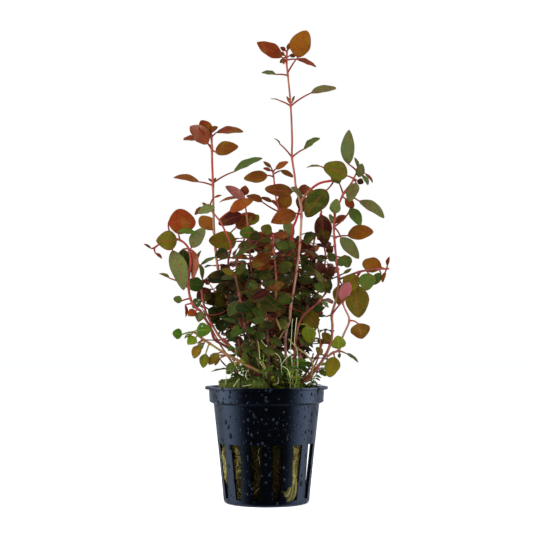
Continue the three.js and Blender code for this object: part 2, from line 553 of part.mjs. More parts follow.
// Stem: the smooth curve through the path's points, cut into straight stretches at those points and
// between far ones.
function stemLine(path) {
  const corners = path.map(([x, z, depth]) => seen(x, z, depth));
  const curve = new THREE.CatmullRomCurve3(corners, false, "centripetal");
  const points = [corners[0]];
  for (let i = 1; i < corners.length; i++) {
    const parts = Math.max(1, Math.round(corners[i].distanceTo(corners[i - 1]) / STEM_STEP));
    for (let k = 1; k <= parts; k++) points.push(curve.getPoint((i - 1 + k / parts) / (corners.length - 1)));
  }
  const line = new THREE.CurvePath();
  for (let i = 1; i < points.length; i++) line.add(new THREE.LineCurve3(points[i - 1], points[i]));
  line.corners = points;
  return line;
}

// Stem: sections across the line, thinning to the tip, with sockets' extra radius added.
function stemSolid({ corners }, [footRadius, tipRadius], extra = 0) {
  const side = new THREE.Vector3(1, 0, 0);
  const rings = corners.map((corner, i) => {
    const along = new THREE.Vector3()
      .subVectors(corners[Math.min(i + 1, corners.length - 1)], corners[Math.max(i - 1, 0)])
      .normalize();
    side.addScaledVector(along, -side.dot(along)).normalize();
    const across = new THREE.Vector3().crossVectors(along, side);
    const radius = THREE.MathUtils.lerp(footRadius, tipRadius, i / (corners.length - 1)) + extra;
    return Array.from({ length: STEM_SIDES }, (_, k) => {
      const angle = (k * 2 * Math.PI) / STEM_SIDES;
      return corner
        .clone()
        .addScaledVector(side, radius * Math.cos(angle))
        .addScaledVector(across, radius * Math.sin(angle));
    });
  });
  return solid(skin(rings));
}

// The point of a stem's line that is seen nearest to x, z.
function nearest(line, x, z) {
  let best = null;
  let closest = Infinity;
  for (const point of line.getSpacedPoints(300)) {
    const scale = EYE_DISTANCE / (EYE_DISTANCE + point.y);
    const distance = Math.hypot(point.x * scale - x, EYE_HEIGHT + (point.z - EYE_HEIGHT) * scale - z);
    if (distance < closest) {
      closest = distance;
      best = point;
    }
  }
  return best;
}

// How far a point is from a stem's line.
function distanceTo(line, point) {
  return Math.min(...line.getSpacedPoints(300).map((other) => other.distanceTo(point)));
}

// Leaf: a thin stalk from the stem and a blade folded a little along its midrib, as one skin of
// sections: left edge, rib's top, right edge, rib's underside. A small leaf's sections leave out the top.
const LARGE_BLADE = [[0.16, 0.72], [0.44, 1], [0.78, 0.7]];
const MEDIUM_BLADE = [[0.22, 0.8], [0.62, 0.9]];
const SMALL_BLADE = [[0.42, 1]];
const MEDIUM_WIDTH = 4.8;

function leafSolid({ foot, via, base, tip, normal, width, large, bent, start }) {
  const blade = new THREE.Vector3().subVectors(tip, base);
  const length = blade.length();
  const axis = blade.clone().normalize();
  const up = normal.clone().addScaledVector(axis, -normal.dot(axis)).normalize();
  const side = new THREE.Vector3().crossVectors(axis, up);
  const route = new THREE.QuadraticBezierCurve3(foot, via, base);
  const corners = large ? [[-1, 0], [0, 1], [1, 0], [0, -1]] : [[-1, 0.3], [1, 0.3], [0, -0.8]];
  const shares = large && bent ? [start, (1 + start) / 2, 1] : [start, 1];
  const rings = shares.map((share) => {
    const along = route.getTangent(share);
    const lift = up.clone().addScaledVector(along, -up.dot(along));
    if (lift.length() < 0.2) lift.copy(axis).addScaledVector(along, -axis.dot(along));
    lift.normalize();
    const across = new THREE.Vector3().crossVectors(along, lift);
    const middle = route.getPoint(share);
    return corners.map(([u, v]) =>
      middle.clone().addScaledVector(across, u * PETIOLE_RADIUS).addScaledVector(lift, v * PETIOLE_RADIUS),
    );
  });
  const small = width < MEDIUM_WIDTH ? SMALL_BLADE : MEDIUM_BLADE;
  for (const [share, wide] of large ? LARGE_BLADE : small) {
    const half = (width / 2) * wide;
    const arch = length * BLADE_BEND * 4 * share * (1 - share);
    const middle = base.clone().addScaledVector(blade, share).addScaledVector(up, arch);
    rings.push(
      corners.map(([u, v]) => {
        const lift = u === 0 ? v * BLADE_HALF_THICKNESS : half * BLADE_FOLD;
        return middle.clone().addScaledVector(side, u * half).addScaledVector(up, lift);
      }),
    );
  }
  rings.push([tip]);
  return solid(skin(rings));
}

// The upper side's direction of a leaf that is turned by face degrees from the front upwards.
function faceNormal(base, tip, face) {
  const axis = new THREE.Vector3().subVectors(tip, base).normalize();
  const front = new THREE.Vector3(0, -EYE_DISTANCE, EYE_HEIGHT).sub(base).normalize();
  front.addScaledVector(axis, -front.dot(axis)).normalize();
  const up = new THREE.Vector3().crossVectors(front, axis);
  if (up.z < 0) up.negate();
  const turn = THREE.MathUtils.degToRad(face);
  return front.multiplyScalar(Math.cos(turn)).addScaledVector(up, Math.sin(turn));
}

function rowLeaf(line, stemRadius, row) {
  const [size, atX, atZ, baseX, baseZ, tipX, tipZ, width, depth, face, tint, viaX, viaZ] = row;
  const foot = nearest(line, atX, atZ);
  const stalk = Math.hypot(baseX - atX, baseZ - atZ);
  const share = Math.max(stalk / (stalk + Math.hypot(tipX - baseX, tipZ - baseZ)), LEAST_STALK);
  const base = seen(baseX, baseZ, foot.y + depth * share);
  const tip = seen(tipX, tipZ, foot.y + depth);
  const via =
    viaX === undefined
      ? foot.clone().lerp(base, 0.5).add(new THREE.Vector3(0, 0, 0.1 * stalk))
      : seen(viaX, viaZ, foot.y + (depth * share) / 2);
  const large = size === "L";
  const normal = faceNormal(base, tip, face);
  const leaf = { foot, via, base, tip, normal, width, large, bent: viaX !== undefined, start: 0, tint };
  if (!large) return leaf;
  const route = new THREE.QuadraticBezierCurve3(foot, via, base);
  const clear = stemRadius + PETIOLE_RADIUS + GAP;
  while (leaf.start < 0.9 && distanceTo(line, route.getPoint(leaf.start)) < clear) leaf.start += 0.02;
  return leaf;
}

// Opposite pairs, each turned a quarter from the pair below.
function pairLeaves(line, [from, to, count, length]) {
  const leaves = [];
  for (let i = 0; i < count; i++) {
    const share = THREE.MathUtils.lerp(from, to, count > 1 ? i / (count - 1) : 0);
    const foot = line.getPointAt(share);
    const size = length * (1 + 0.18 * Math.sin(2.4 * i + length)) * (share > 0.95 ? 0.7 : 1);
    for (const turn of [0, Math.PI]) {
      const azimuth = turn + i * 1.57 + 0.6 + 0.3 * Math.sin(5 * i + foot.x);
      const out = new THREE.Vector3(Math.cos(azimuth), Math.sin(azimuth), 0.25 - 0.3 * share);
      const base = foot.clone().addScaledVector(out, 0.3 * size);
      const tip = foot.clone().addScaledVector(out, 1.3 * size).add(new THREE.Vector3(0, 0, -0.2 * size));
      const via = foot.clone().lerp(base, 0.5).add(new THREE.Vector3(0, 0, 0.06 * size));
      const normal = new THREE.Vector3(-0.35 * Math.cos(azimuth), -0.35 * Math.sin(azimuth), 1);
      leaves.push({ foot, via, base, tip, normal, width: 0.62 * size, large: false, start: 0 });
    }
  }
  return leaves;
}

const potBody = pot();
const stems = STEMS.map((stem) => {
  const line = stemLine(stem.path);
  return { ...stem, line, body: stemSolid(line, stem.radius) };
});

// Each stem stands in a socket of the wool that is a gap wider than the stem.
let woolBody = wool();
for (const stem of stems) woolBody = woolBody.subtract(stemSolid(stem.line, stem.radius, GAP));

const largeLeaves = [];
for (const stem of stems) {
  stem.leaves
    .filter(([size]) => size === "L")
    .forEach((row, i) => {
      const leaf = rowLeaf(stem.line, stem.radius[0], row);
      const name = `leaf_${stem.name}_${i + 1}`;
      largeLeaves.push({ name, body: leafSolid(leaf), tint: leaf.tint });
    });
}

// The small leaves are fused to their stem, where no neighbour stands in their way.
for (const stem of stems) {
  const others = [woolBody, potBody, ...largeLeaves.map((leaf) => leaf.body)];
  for (const other of stems) if (other !== stem) others.push(other.body);
  const small = stem.leaves
    .filter(([size]) => size === "s")
    .map((row) => rowLeaf(stem.line, stem.radius[0], row));
  if (stem.pairs) small.push(...pairLeaves(stem.line, stem.pairs));
  for (const leaf of small) {
    const body = leafSolid(leaf);
    const blocked = others.some((other) => other.intersect(body).volume() > 0);
    if (!blocked) stem.body = stem.body.add(body);
  }
}

plant.add(mesh("net_pot", potBody, 0x15181c, 0.4));
plant.add(mesh("wool_plug", woolBody, 0x5d5526, 0.95));
for (const stem of stems) plant.add(mesh(`stem_${stem.name}`, stem.body, 0xa8583f, 0.55));
for (const leaf of largeLeaves) plant.add(mesh(leaf.name, leaf.body, TINTS[leaf.tint], 0.5));

export default plant;
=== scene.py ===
"""A red-leaved aquarium stem plant in its black slotted net pot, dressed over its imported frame."""

import math

import bpy
import numpy as np
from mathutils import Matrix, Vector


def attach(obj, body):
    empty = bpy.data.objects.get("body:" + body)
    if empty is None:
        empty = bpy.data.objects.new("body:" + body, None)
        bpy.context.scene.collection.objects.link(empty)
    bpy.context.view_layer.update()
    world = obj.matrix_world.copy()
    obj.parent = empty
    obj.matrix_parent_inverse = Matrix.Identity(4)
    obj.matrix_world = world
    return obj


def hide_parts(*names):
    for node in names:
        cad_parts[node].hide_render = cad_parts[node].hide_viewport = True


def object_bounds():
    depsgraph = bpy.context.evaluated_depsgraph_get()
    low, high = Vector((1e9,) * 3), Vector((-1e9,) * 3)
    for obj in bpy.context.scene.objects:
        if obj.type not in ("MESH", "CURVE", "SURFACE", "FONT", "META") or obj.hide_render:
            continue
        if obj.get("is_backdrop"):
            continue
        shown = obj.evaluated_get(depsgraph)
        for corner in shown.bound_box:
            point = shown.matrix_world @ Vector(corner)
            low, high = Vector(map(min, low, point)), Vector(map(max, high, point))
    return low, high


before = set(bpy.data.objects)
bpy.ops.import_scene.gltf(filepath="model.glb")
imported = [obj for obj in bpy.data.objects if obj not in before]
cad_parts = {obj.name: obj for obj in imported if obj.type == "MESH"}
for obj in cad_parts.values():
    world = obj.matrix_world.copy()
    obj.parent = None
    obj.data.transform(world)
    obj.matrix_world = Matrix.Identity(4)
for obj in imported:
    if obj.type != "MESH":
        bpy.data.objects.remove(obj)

sizes = {"cad": [[float(v) for v in corner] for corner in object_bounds()]}

# Camera and studio: a square picture of a plant on a pale floor, between two tall soft side lights,
# with a dim room in front. The camera stands 571 mm in front of the pot's axis and looks up a little.
MM = 0.001
EYE_DISTANCE = 571 * MM
EYE_HEIGHT = 73.3 * MM
EYE_PITCH = 3.365
LENS = 84.43

camera_data = bpy.data.cameras.new("camera")
camera_data.lens = LENS
camera_data.clip_start = 10 * MM
camera = bpy.data.objects.new("camera", camera_data)
camera.location = (0, -EYE_DISTANCE, EYE_HEIGHT)
camera.rotation_euler = (math.radians(90 + EYE_PITCH), 0, 0)
bpy.context.collection.objects.link(camera)
bpy.context.scene.camera = camera
bpy.context.scene.view_settings.view_transform = "Standard"


class Socket:
    """A socket of a node tree. Arithmetic on it adds Math nodes."""

    def __init__(self, tree, socket=None):
        self.tree = tree
        self.socket = socket

    def add(self, kind, inputs=None, output=0, **settings):
        """Adds a node, sets its settings and then its sockets, and returns one of its outputs."""
        node = self.tree.nodes.new("ShaderNode" + kind)
        for name, value in settings.items():
            setattr(node, name, value)
        for name, value in (inputs or {}).items():
            if isinstance(value, Socket):
                self.tree.links.new(value.socket, node.inputs[name])
            else:
                node.inputs[name].default_value = value
        return Socket(self.tree, node.outputs[output])

    def math(self, operation, *values):
        return self.add("Math", dict(enumerate(values)), operation=operation)

    def step(self, low, high):
        """0 below low, 1 above high, smooth between them."""
        inputs = {"Value": self, "From Min": low, "From Max": high}
        return self.add("MapRange", inputs, interpolation_type="SMOOTHSTEP")

    def mix(self, first, second):
        """The colour first where this value is 0 and second where it is 1."""
        return self.add("Mix", {0: self, 6: first, 7: second}, output=2, data_type="RGBA")

    def part(self, axis):
        """One coordinate of a vector, or one channel of a colour: 0, 1 or 2."""
        return self.add("SeparateXYZ", {0: self}, output=axis)

    def noise(self, where, scale, detail=2.0, roughness=0.5):
        """Soft random value from 0 to 1 over a place."""
        inputs = {"Vector": where, "Scale": scale, "Detail": detail, "Roughness": roughness}
        return self.add("TexNoise", inputs)

    def stored(self, name, output="Color"):
        """What the mesh holds at each point under a name."""
        return self.add("Attribute", output=output, attribute_name=name)

    def __add__(self, other):
        return self.math("ADD", self, other)

    def __sub__(self, other):
        return self.math("SUBTRACT", self, other)

    def __rsub__(self, other):
        return self.math("SUBTRACT", other, self)

    def __mul__(self, other):
        return self.math("MULTIPLY", self, other)

    def __abs__(self):
        return self.math("ABSOLUTE", self)

    __radd__ = __add__
    __rmul__ = __mul__


def linear(code):
    """The linear colour of a screen colour given as 0xRRGGBB, with an alpha of 1."""
    screen = np.array([code >> 16 & 255, code >> 8 & 255, code & 255]) / 255
    return (*np.where(screen > 0.04045, ((screen + 0.055) / 1.055) ** 2.4, screen / 12.92), 1.0)


WHITE = (1, 1, 1, 1)
WALL_GREY = (0.74, 0.75, 0.76, 1)
FRONT_GREY = (0.26, 0.26, 0.26, 1)
WALL_IN_GLOSS = (2.4, 2.6, 2.9, 1)
BACK_IN_GLOSS = (0.42, 0.47, 0.56, 1)
SKIRTING_IN_GLOSS = (0.34, 0.38, 0.46, 1)
FRONT_IN_GLOSS = (0.02, 0.02, 0.025, 1)
world = bpy.data.worlds.new("studio")
world.use_nodes = True
studio = Socket(world.node_tree)
backdrop = next(node for node in world.node_tree.nodes if node.type == "BACKGROUND")
towards = studio.add("TexCoord", output="Generated")
frontward = (towards.part(1) * -1).step(0.05, 0.66)
mirrored = studio.add("LightPath", output="Is Glossy Ray")
walls = mirrored.mix(WALL_GREY, WALL_IN_GLOSS)
backward = towards.part(1).step(0.12, 0.6)
walls = (backward * mirrored).mix(walls, BACK_IN_GLOSS)
skirting = (1 - towards.part(2).step(-0.34, 0.04)) * mirrored
walls = (skirting * 0.82).mix(walls, SKIRTING_IN_GLOSS)
room = frontward.mix(walls, mirrored.mix(FRONT_GREY, FRONT_IN_GLOSS))
seen_directly = studio.add("LightPath", output="Is Camera Ray")
world.node_tree.links.new(seen_directly.mix(room, WHITE).socket, backdrop.inputs["Color"])
bpy.context.scene.world = world


def soft_light(name, place, target, size, power, colour=(1, 1, 1)):
    """A rectangular soft light at a place, turned to a target."""
    data = bpy.data.lights.new(name, "AREA")
    data.shape = "RECTANGLE"
    data.size, data.size_y = size
    data.energy = power
    data.color = colour
    light = bpy.data.objects.new(name, data)
    light.location = place
    way = np.array(target) - np.array(place)
    light.rotation_euler = (
        math.atan2(math.hypot(way[0], way[1]), -way[2]),
        0,
        math.atan2(way[1], way[0]) - math.pi / 2,
    )
    light.visible_camera = False
    light.visible_glossy = False
    bpy.context.collection.objects.link(light)


soft_light("left_softbox", (-0.62, -0.3, 0.3), (0, 0, 0.12), (0.4, 0.6), 4.6, (0.97, 0.98, 1))
soft_light("right_softbox", (0.62, -0.3, 0.3), (0, 0, 0.12), (0.4, 0.6), 3.6, (0.97, 0.98, 1))
soft_light("top_softbox", (-0.1, -0.35, 0.75), (0, 0, 0.14), (0.45, 0.45), 3.2)

FLOOR_RADIUS = 4.0
FLOOR_SIDES = 96
floor_turn = np.linspace(0, 2 * math.pi, FLOOR_SIDES + 1)[:-1]
floor_mesh = bpy.data.meshes.new("floor")
floor_mesh.from_pydata(
    np.stack([np.cos(floor_turn), np.sin(floor_turn), 0 * floor_turn], axis=1) * FLOOR_RADIUS,
    [],
    [list(range(FLOOR_SIDES))],
)
floor = bpy.data.objects.new("floor", floor_mesh)
bpy.context.collection.objects.link(floor)


def material(name, roughness, **constants):
    """A new material's principled shader, with what is the same all over its surface set on it."""
    made = bpy.data.materials.new(name)
    made.use_nodes = True
    shader = next(node for node in made.node_tree.nodes if node.type == "BSDF_PRINCIPLED")
    shader.inputs["Roughness"].default_value = roughness
    for socket, value in constants.items():
        shader.inputs[socket.replace("_", " ")].default_value = value
    return made, shader, Socket(made.node_tree)


def feed(shader, **channels):
    """Links what changes over a surface to the shader's sockets."""
    for socket, value in channels.items():
        value.tree.links.new(value.socket, shader.inputs[socket.replace("_", " ")])


paper, paper_shader, on_paper = material(
    "pale_floor", 0.95, Specular_IOR_Level=0.0, Emission_Color=WHITE, Emission_Strength=0.42
)
grain = on_paper.noise(on_paper.add("TexCoord", output="Object"), 30.0)
feed(paper_shader, Base_Color=grain.mix((0.93, 0.93, 0.93, 1), (0.95, 0.95, 0.95, 1)))
unseen = on_paper.add("BsdfTransparent")
in_gloss = on_paper.add("LightPath", output="Is Glossy Ray")
lit_paper = Socket(paper.node_tree, paper_shader.outputs["BSDF"])
sheet_of_paper = on_paper.add("MixShader", {0: in_gloss, 1: lit_paper, 2: unseen})
paper_out = next(node for node in paper.node_tree.nodes if node.type == "OUTPUT_MATERIAL")
paper.node_tree.links.new(sheet_of_paper.socket, paper_out.inputs["Surface"])
floor_mesh.materials.append(paper)
floor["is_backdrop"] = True

# Net pot: one injection-moulded shell of black plastic, thin walled, with a turned-out rim, a straight
# collar over a step, fourteen slots that taper down the wall and six drain holes in the floor. The
# surface is wet and beaded, which is left to the bump.
RIM_RADIUS = 28 * MM
RIM_TOP = 52.3 * MM
RIM_THICKNESS = 1.2 * MM
COLLAR_RADIUS = 26.2 * MM
COLLAR_BOTTOM = 45.5 * MM
WALL_TOP_RADIUS = 24 * MM
WALL_BOTTOM_RADIUS = 19.4 * MM
WALL_MIDDLE = 34 * MM
BASE_CORNER = 1.5 * MM
WALL = 1 * MM
FLOOR = 1.2 * MM
RIM_ROUNDING = 0.2 * MM
COLLAR_ROUNDING = 0.3 * MM
SLOTS = 14
SLOT_COLUMNS = 6
PITCH_COLUMNS = 14
SLOT_BOTTOM = 2.7 * MM
SLOT_TOP = 27.1 * MM
SLOT_WIDTHS = (3.2 * MM, 5.5 * MM)
DRAIN_HOLES = 6
DRAIN_RADIUS = 2 * MM
DRAIN_CIRCLE = 12 * MM
DRAIN_SIDES = 24
FLOOR_MIDDLE = 6 * MM


def wall_outside(z):
    """Outer radius of the pot's wall at a height: a straight cone from base to collar."""
    share = (z - BASE_CORNER) / (COLLAR_BOTTOM - WALL - BASE_CORNER)
    return WALL_BOTTOM_RADIUS + (WALL_TOP_RADIUS - WALL_BOTTOM_RADIUS) * share


def pot_profile():
    """Half section of the pot as (radius, height), from the base's middle out, up and back in."""
    slot_rows = np.linspace(SLOT_BOTTOM, SLOT_TOP, 9)
    inner_collar = COLLAR_RADIUS - WALL
    corner = np.linspace(0, math.pi / 2, 4)
    outer = [(FLOOR_MIDDLE, 0), (DRAIN_CIRCLE, 0)]
    outer += [
        (WALL_BOTTOM_RADIUS - BASE_CORNER * (1 - math.sin(a)), BASE_CORNER * (1 - math.cos(a)))
        for a in corner
    ]
    outer += [(wall_outside(z), z) for z in slot_rows]
    outer += [(wall_outside(z), z) for z in (WALL_MIDDLE, COLLAR_BOTTOM - WALL)]
    outer += [
        (COLLAR_RADIUS - COLLAR_ROUNDING, COLLAR_BOTTOM),
        (COLLAR_RADIUS, RIM_TOP - RIM_THICKNESS),
        (RIM_RADIUS - RIM_ROUNDING, RIM_TOP - RIM_THICKNESS),
        (RIM_RADIUS, RIM_TOP - RIM_THICKNESS / 2),
        (RIM_RADIUS - RIM_ROUNDING, RIM_TOP),
        (inner_collar + COLLAR_ROUNDING, RIM_TOP),
    ]
    inner = [
        (inner_collar, RIM_TOP - COLLAR_ROUNDING),
        (inner_collar - COLLAR_ROUNDING, COLLAR_BOTTOM + WALL),
        (WALL_TOP_RADIUS - WALL, COLLAR_BOTTOM),
    ]
    inner += [(wall_outside(z) - WALL, z) for z in (WALL_MIDDLE, *slot_rows[::-1])]
    inner += [
        (WALL_BOTTOM_RADIUS - WALL - 0.5 * MM, FLOOR + 0.2 * MM),
        (DRAIN_CIRCLE, FLOOR),
        (FLOOR_MIDDLE, FLOOR),
    ]
    return np.array(outer), np.array(inner)


def pot_columns(heights):
    """Angles of the pot's columns at each height. Between slots they share a rib's width evenly, and
    the slot's edges keep their tapering width, asin(width / 2 / radius), over the slot's heights."""
    share = np.clip((heights - SLOT_BOTTOM) / (SLOT_TOP - SLOT_BOTTOM), 0, 1)
    width = SLOT_WIDTHS[0] + (SLOT_WIDTHS[1] - SLOT_WIDTHS[0]) * share
    half = np.arcsin(width / 2 / wall_outside(np.clip(heights, SLOT_BOTTOM, SLOT_TOP)))
    pitch = 2 * math.pi / SLOTS
    slot = half[:, None] * np.linspace(-1, 1, SLOT_COLUMNS, endpoint=False)
    between = np.linspace(0, 1, PITCH_COLUMNS - SLOT_COLUMNS, endpoint=False)
    rib = half[:, None] + (pitch - 2 * half)[:, None] * between
    one = np.concatenate([slot, rib], axis=1)
    starts = (np.arange(SLOTS) + 0.5) * pitch - math.pi / 2
    return (starts[None, :, None] + one[:, None, :]).reshape(len(heights), -1)


def mesh_object(name, points, faces):
    """A smooth shaded mesh object at the origin from points and faces."""
    mesh = bpy.data.meshes.new(name)
    mesh.from_pydata(points, [], faces)
    mesh.polygons.foreach_set("use_smooth", np.full(len(mesh.polygons), True))
    made = bpy.data.objects.new(name, mesh)
    bpy.context.collection.objects.link(made)
    return made


outer, inner = pot_profile()
profile = np.concatenate([outer, inner])
angles = pot_columns(profile[:, 1])
pot_points = np.stack(
    [
        profile[:, :1] * np.cos(angles),
        profile[:, :1] * np.sin(angles),
        profile[:, 1:] + 0 * angles,
    ],
    axis=-1,
).reshape(-1, 3)
columns = angles.shape[1]
in_slot = (np.arange(columns) % PITCH_COLUMNS) < SLOT_COLUMNS


def pot_faces():
    """Quads of the profile's surface without the slots, the slots' reveals, and the closed middles."""
    column = np.arange(columns)
    after = (column + 1) % columns
    faces = []
    slot_heights = (profile[:, 1] > SLOT_BOTTOM - 1e-9) & (profile[:, 1] < SLOT_TOP + 1e-9)
    slot_heights &= np.abs(profile[:, 0] - wall_outside(profile[:, 1])) < WALL * 1.01
    for row in range(len(profile) - 1):
        first = row * columns
        second = first + columns
        quads = np.stack([first + column, first + after, second + after, second + column], axis=1)
        if slot_heights[row] and slot_heights[row + 1]:
            quads = quads[~in_slot]
        faces += quads.tolist()
    starts = (np.flatnonzero(slot_heights) * columns).tolist()
    outside = [start for start in starts if start < len(outer) * columns]
    inside = [start for start in starts if start >= len(outer) * columns][::-1]
    for slot in range(SLOTS):
        low = slot * PITCH_COLUMNS
        high = low + SLOT_COLUMNS
        for a, b, c, d in zip(outside[:-1], outside[1:], inside[:-1], inside[1:]):
            faces.append([a + low, b + low, d + low, c + low])
            faces.append([a + high, c + high, d + high, b + high])
        bottom, top, bottom_in, top_in = outside[0], outside[-1], inside[0], inside[-1]
        for k in range(low, high):
            faces.append([bottom + k, bottom_in + k, bottom_in + k + 1, bottom + k + 1])
            faces.append([top + k, top + k + 1, top_in + k + 1, top_in + k])
    faces.append(column[::-1].tolist())
    faces.append(((len(profile) - 1) * columns + column).tolist())
    return faces


pot = mesh_object("pot_shell", pot_points, pot_faces())
drill_turn = np.linspace(0, 2 * math.pi, DRAIN_SIDES + 1)[:-1]
drill_sides = np.arange(DRAIN_SIDES)
drills = []
drill_faces = []
for hole in range(DRAIN_HOLES):
    turn = (hole + 0.5) * 2 * math.pi / DRAIN_HOLES
    centre = DRAIN_CIRCLE * np.array([math.cos(turn), math.sin(turn)])
    for z in (-FLOOR, 2 * FLOOR):
        ring = centre + DRAIN_RADIUS * np.stack([np.cos(drill_turn), np.sin(drill_turn)], axis=1)
        drills.append(np.column_stack([ring, np.full(DRAIN_SIDES, z)]))
    low = 2 * DRAIN_SIDES * hole + drill_sides
    high = low + DRAIN_SIDES
    drill_faces += np.stack([low, np.roll(low, -1), np.roll(high, -1), high], axis=1).tolist()
    drill_faces += [low[::-1].tolist(), high.tolist()]
drill = mesh_object("drill", np.concatenate(drills), drill_faces)


def apply_modifiers(piece):
    """Puts the result of a piece's modifiers into its mesh."""
    graph = bpy.context.evaluated_depsgraph_get()
    shaped = bpy.data.meshes.new_from_object(piece.evaluated_get(graph))
    piece.modifiers.clear()
    piece.data = shaped


cut = pot.modifiers.new("drain_holes", "BOOLEAN")
cut.object = drill
cut.solver = "EXACT"
bpy.context.view_layer.update()
apply_modifiers(pot)
bpy.data.objects.remove(drill)
edge = pot.modifiers.new("moulded_edges", "BEVEL")
edge.width = 0.15 * MM
edge.segments = 2
edge.limit_method = "ANGLE"
edge.angle_limit = math.radians(40)
apply_modifiers(pot)
pot.data.polygons.foreach_set("use_smooth", np.full(len(pot.data.polygons), True))
pot.data.set_sharp_from_angle(angle=math.radians(50))
even = pot.modifiers.new("even_shading", "WEIGHTED_NORMAL")
even.keep_sharp = True
apply_modifiers(pot)

plastic, plastic_shader, on_pot = material(
    "wet_black_plastic", 0.3, Specular_IOR_Level=0.62, Specular_Tint=(0.62, 0.82, 1.2, 1)
)
where = on_pot.add("TexCoord", output="Object")
tall_cells = on_pot.add("Mapping", {"Vector": where, "Scale": (1, 1, 0.72)})
small_cells = {"Vector": tall_cells, "Scale": 640.0, "Randomness": 1.0}
large_cells = {"Vector": tall_cells, "Scale": 380.0, "Randomness": 1.0}
bead_pick = on_pot.add("TexVoronoi", small_cells, output="Color").part(0)
bead_gap = on_pot.add("TexVoronoi", small_cells, output="Distance")
drop_pick = on_pot.add("TexVoronoi", large_cells, output="Color").part(0)
drop_gap = on_pot.add("TexVoronoi", large_cells, output="Distance")
bead_reach = 0.15 + 0.22 * bead_pick * bead_pick
# Larger drops hang at the sides, where they look dark against the light of the studio walls.
sided = abs(where.part(0)).step(9 * MM, 17 * MM)
drop_reach = 0.5 * drop_pick - 0.28 + 0.25 * sided
bead_dome = bead_reach * bead_reach - bead_gap * bead_gap
drop_dome = drop_reach * abs(drop_reach) - drop_gap * drop_gap
bead_dome = bead_dome.math("MAXIMUM", bead_dome, 0.0)
drop_dome = drop_dome.math("MAXIMUM", drop_dome, 0.0)
beads = (bead_dome + drop_dome).step(0.0, 0.02)
streaks = on_pot.noise(where, 90.0, 3.0)
height = bead_dome * 3.6 + drop_dome * 8.0 + streaks * 0.03
wet_bump = on_pot.add("Bump", {"Height": height, "Distance": 1.0 * MM, "Strength": 1.0})
feed(
    plastic_shader,
    Base_Color=streaks.mix(linear(0x010102), linear(0x030406)),
    Roughness=0.16 + 0.18 * streaks + (0.6 * sided - 0.06) * beads,
    Normal=wet_bump,
)
pot.data.materials.clear()
pot.data.materials.append(plastic)
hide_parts("net_pot")
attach(pot, "root")

# Mineral wool: a wad of spun rock fibre pushed into the pot, wet and browned by algae. Its front middle
# is painted near black, a painted shade. It stands up as a mossy lump at the rim's left and is pulled
# in at the lower right and lower left.
WOOL_BOTTOM = FLOOR + 0.3 * MM
WOOL_TOP = 49 * MM
SIDE_TOP = 47 * MM
WOOL_AROUND = 420
# How far the wool swells into each slot, in millimetres, anticlockwise from the slot at the right.
SLOT_SWELL = (1.2, 1.0, 0.8, 1.4, 0.9, 1.1, 1.3, 1.2, 2.3, 1.1, 0.6, 0.9, 2.3, 0.4)
LUMP_RISE = 4.9 * MM
LUMP_SLOPE = 2.2 * MM
RIGHT_DROP = 3 * MM
TOP_WAVES = 0.6 * MM
# In millimetres: the gap to the wall, the folds' depth, the flare into the collar, and how far the
# side is pulled in low at the right and at the left.
WOOL_GAP = 1.6
WOOL_FOLDS = 0.6
COLLAR_FLARE = 1.6
RIGHT_HOLLOW = 4.6
LEFT_HOLLOW = 2.6


def smooth(value, low, high):
    """0 below low, 1 above high, with an even slope's ends rounded off."""
    t = np.clip((value - low) / (high - low), 0, 1)
    return t * t * (3 - 2 * t)


def lumps(points, cell, seed):
    """Smooth random value from -1 to 1 at each point: random numbers on a lattice of that cell,
    blended between its eight corners."""
    place = points / cell
    low = np.floor(place).astype(int)
    share = smooth(place - low, 0, 1)
    total = np.zeros(len(points))
    for corner in np.ndindex(2, 2, 2):
        at = (low + corner) * np.array([73856093, 19349663, 83492791]) + seed * 2654435761
        mixed = np.bitwise_xor.reduce(at, axis=1) & 0xFFFFFFFF
        mixed = (mixed ^ (mixed >> 13)) * 1274126177 & 0xFFFFFFFF
        value = (mixed ^ (mixed >> 16)) / 0xFFFFFFFF * 2 - 1
        weight = np.where(corner, share, 1 - share).prod(axis=1)
        total += weight * value
    return total


def wool_top(x, y):
    """Height of the wool's top: a mossy lump at the left, lower at the right."""
    lump = smooth(-x, -6 * MM, 3 * MM) * smooth(12 * MM - y, 0, 10 * MM)
    slope = LUMP_SLOPE * smooth(x, -23 * MM, -11 * MM)
    low = smooth(x, 12 * MM, 20 * MM)
    wave = np.sin(600 * x + 1) * np.cos(500 * y)
    return WOOL_TOP + (LUMP_RISE + slope) * lump - RIGHT_DROP * low + TOP_WAVES * wave


def wool_radius(angle, z):
    """Radius of the wool's side: the wall's inside less a gap, pulled in low at the right and left."""
    right = smooth(np.cos(angle), 0.55, 0.95) * smooth(z, 2 * MM, 5 * MM)
    right = right * (1 - smooth(z, 25 * MM, 33 * MM))
    left = smooth(-np.cos(angle), 0.6, 0.95) * (1 - smooth(z, 7 * MM, 12 * MM))
    folds = 0.5 * np.sin(3 * angle + 250 * z) + 0.4 * np.sin(7 * angle - 500 * z)
    pitch = 2 * math.pi / SLOTS
    place = (angle + math.pi / 2) / pitch - 0.5
    off_slot = np.abs(place - np.round(place)) * pitch
    slot = (np.round(place).astype(int) - 3) % SLOTS
    half_slot = np.interp(z, (SLOT_BOTTOM, SLOT_TOP), np.array(SLOT_WIDTHS) / 2) / wall_outside(z)
    swell = np.array(SLOT_SWELL)[slot] * smooth(half_slot - off_slot, 0.005, 0.03)
    swell = swell * smooth(z, 4 * MM, 7 * MM) * (1 - smooth(z, 25 * MM, 27 * MM))
    inside = wall_outside(np.minimum(z, 44 * MM)) - WALL
    flare = COLLAR_FLARE * smooth(z, 45.4 * MM, 46.6 * MM)
    proud = -WOOL_GAP + WOOL_FOLDS * folds + swell + flare
    return inside + (proud - RIGHT_HOLLOW * right - LEFT_HOLLOW * left) * MM


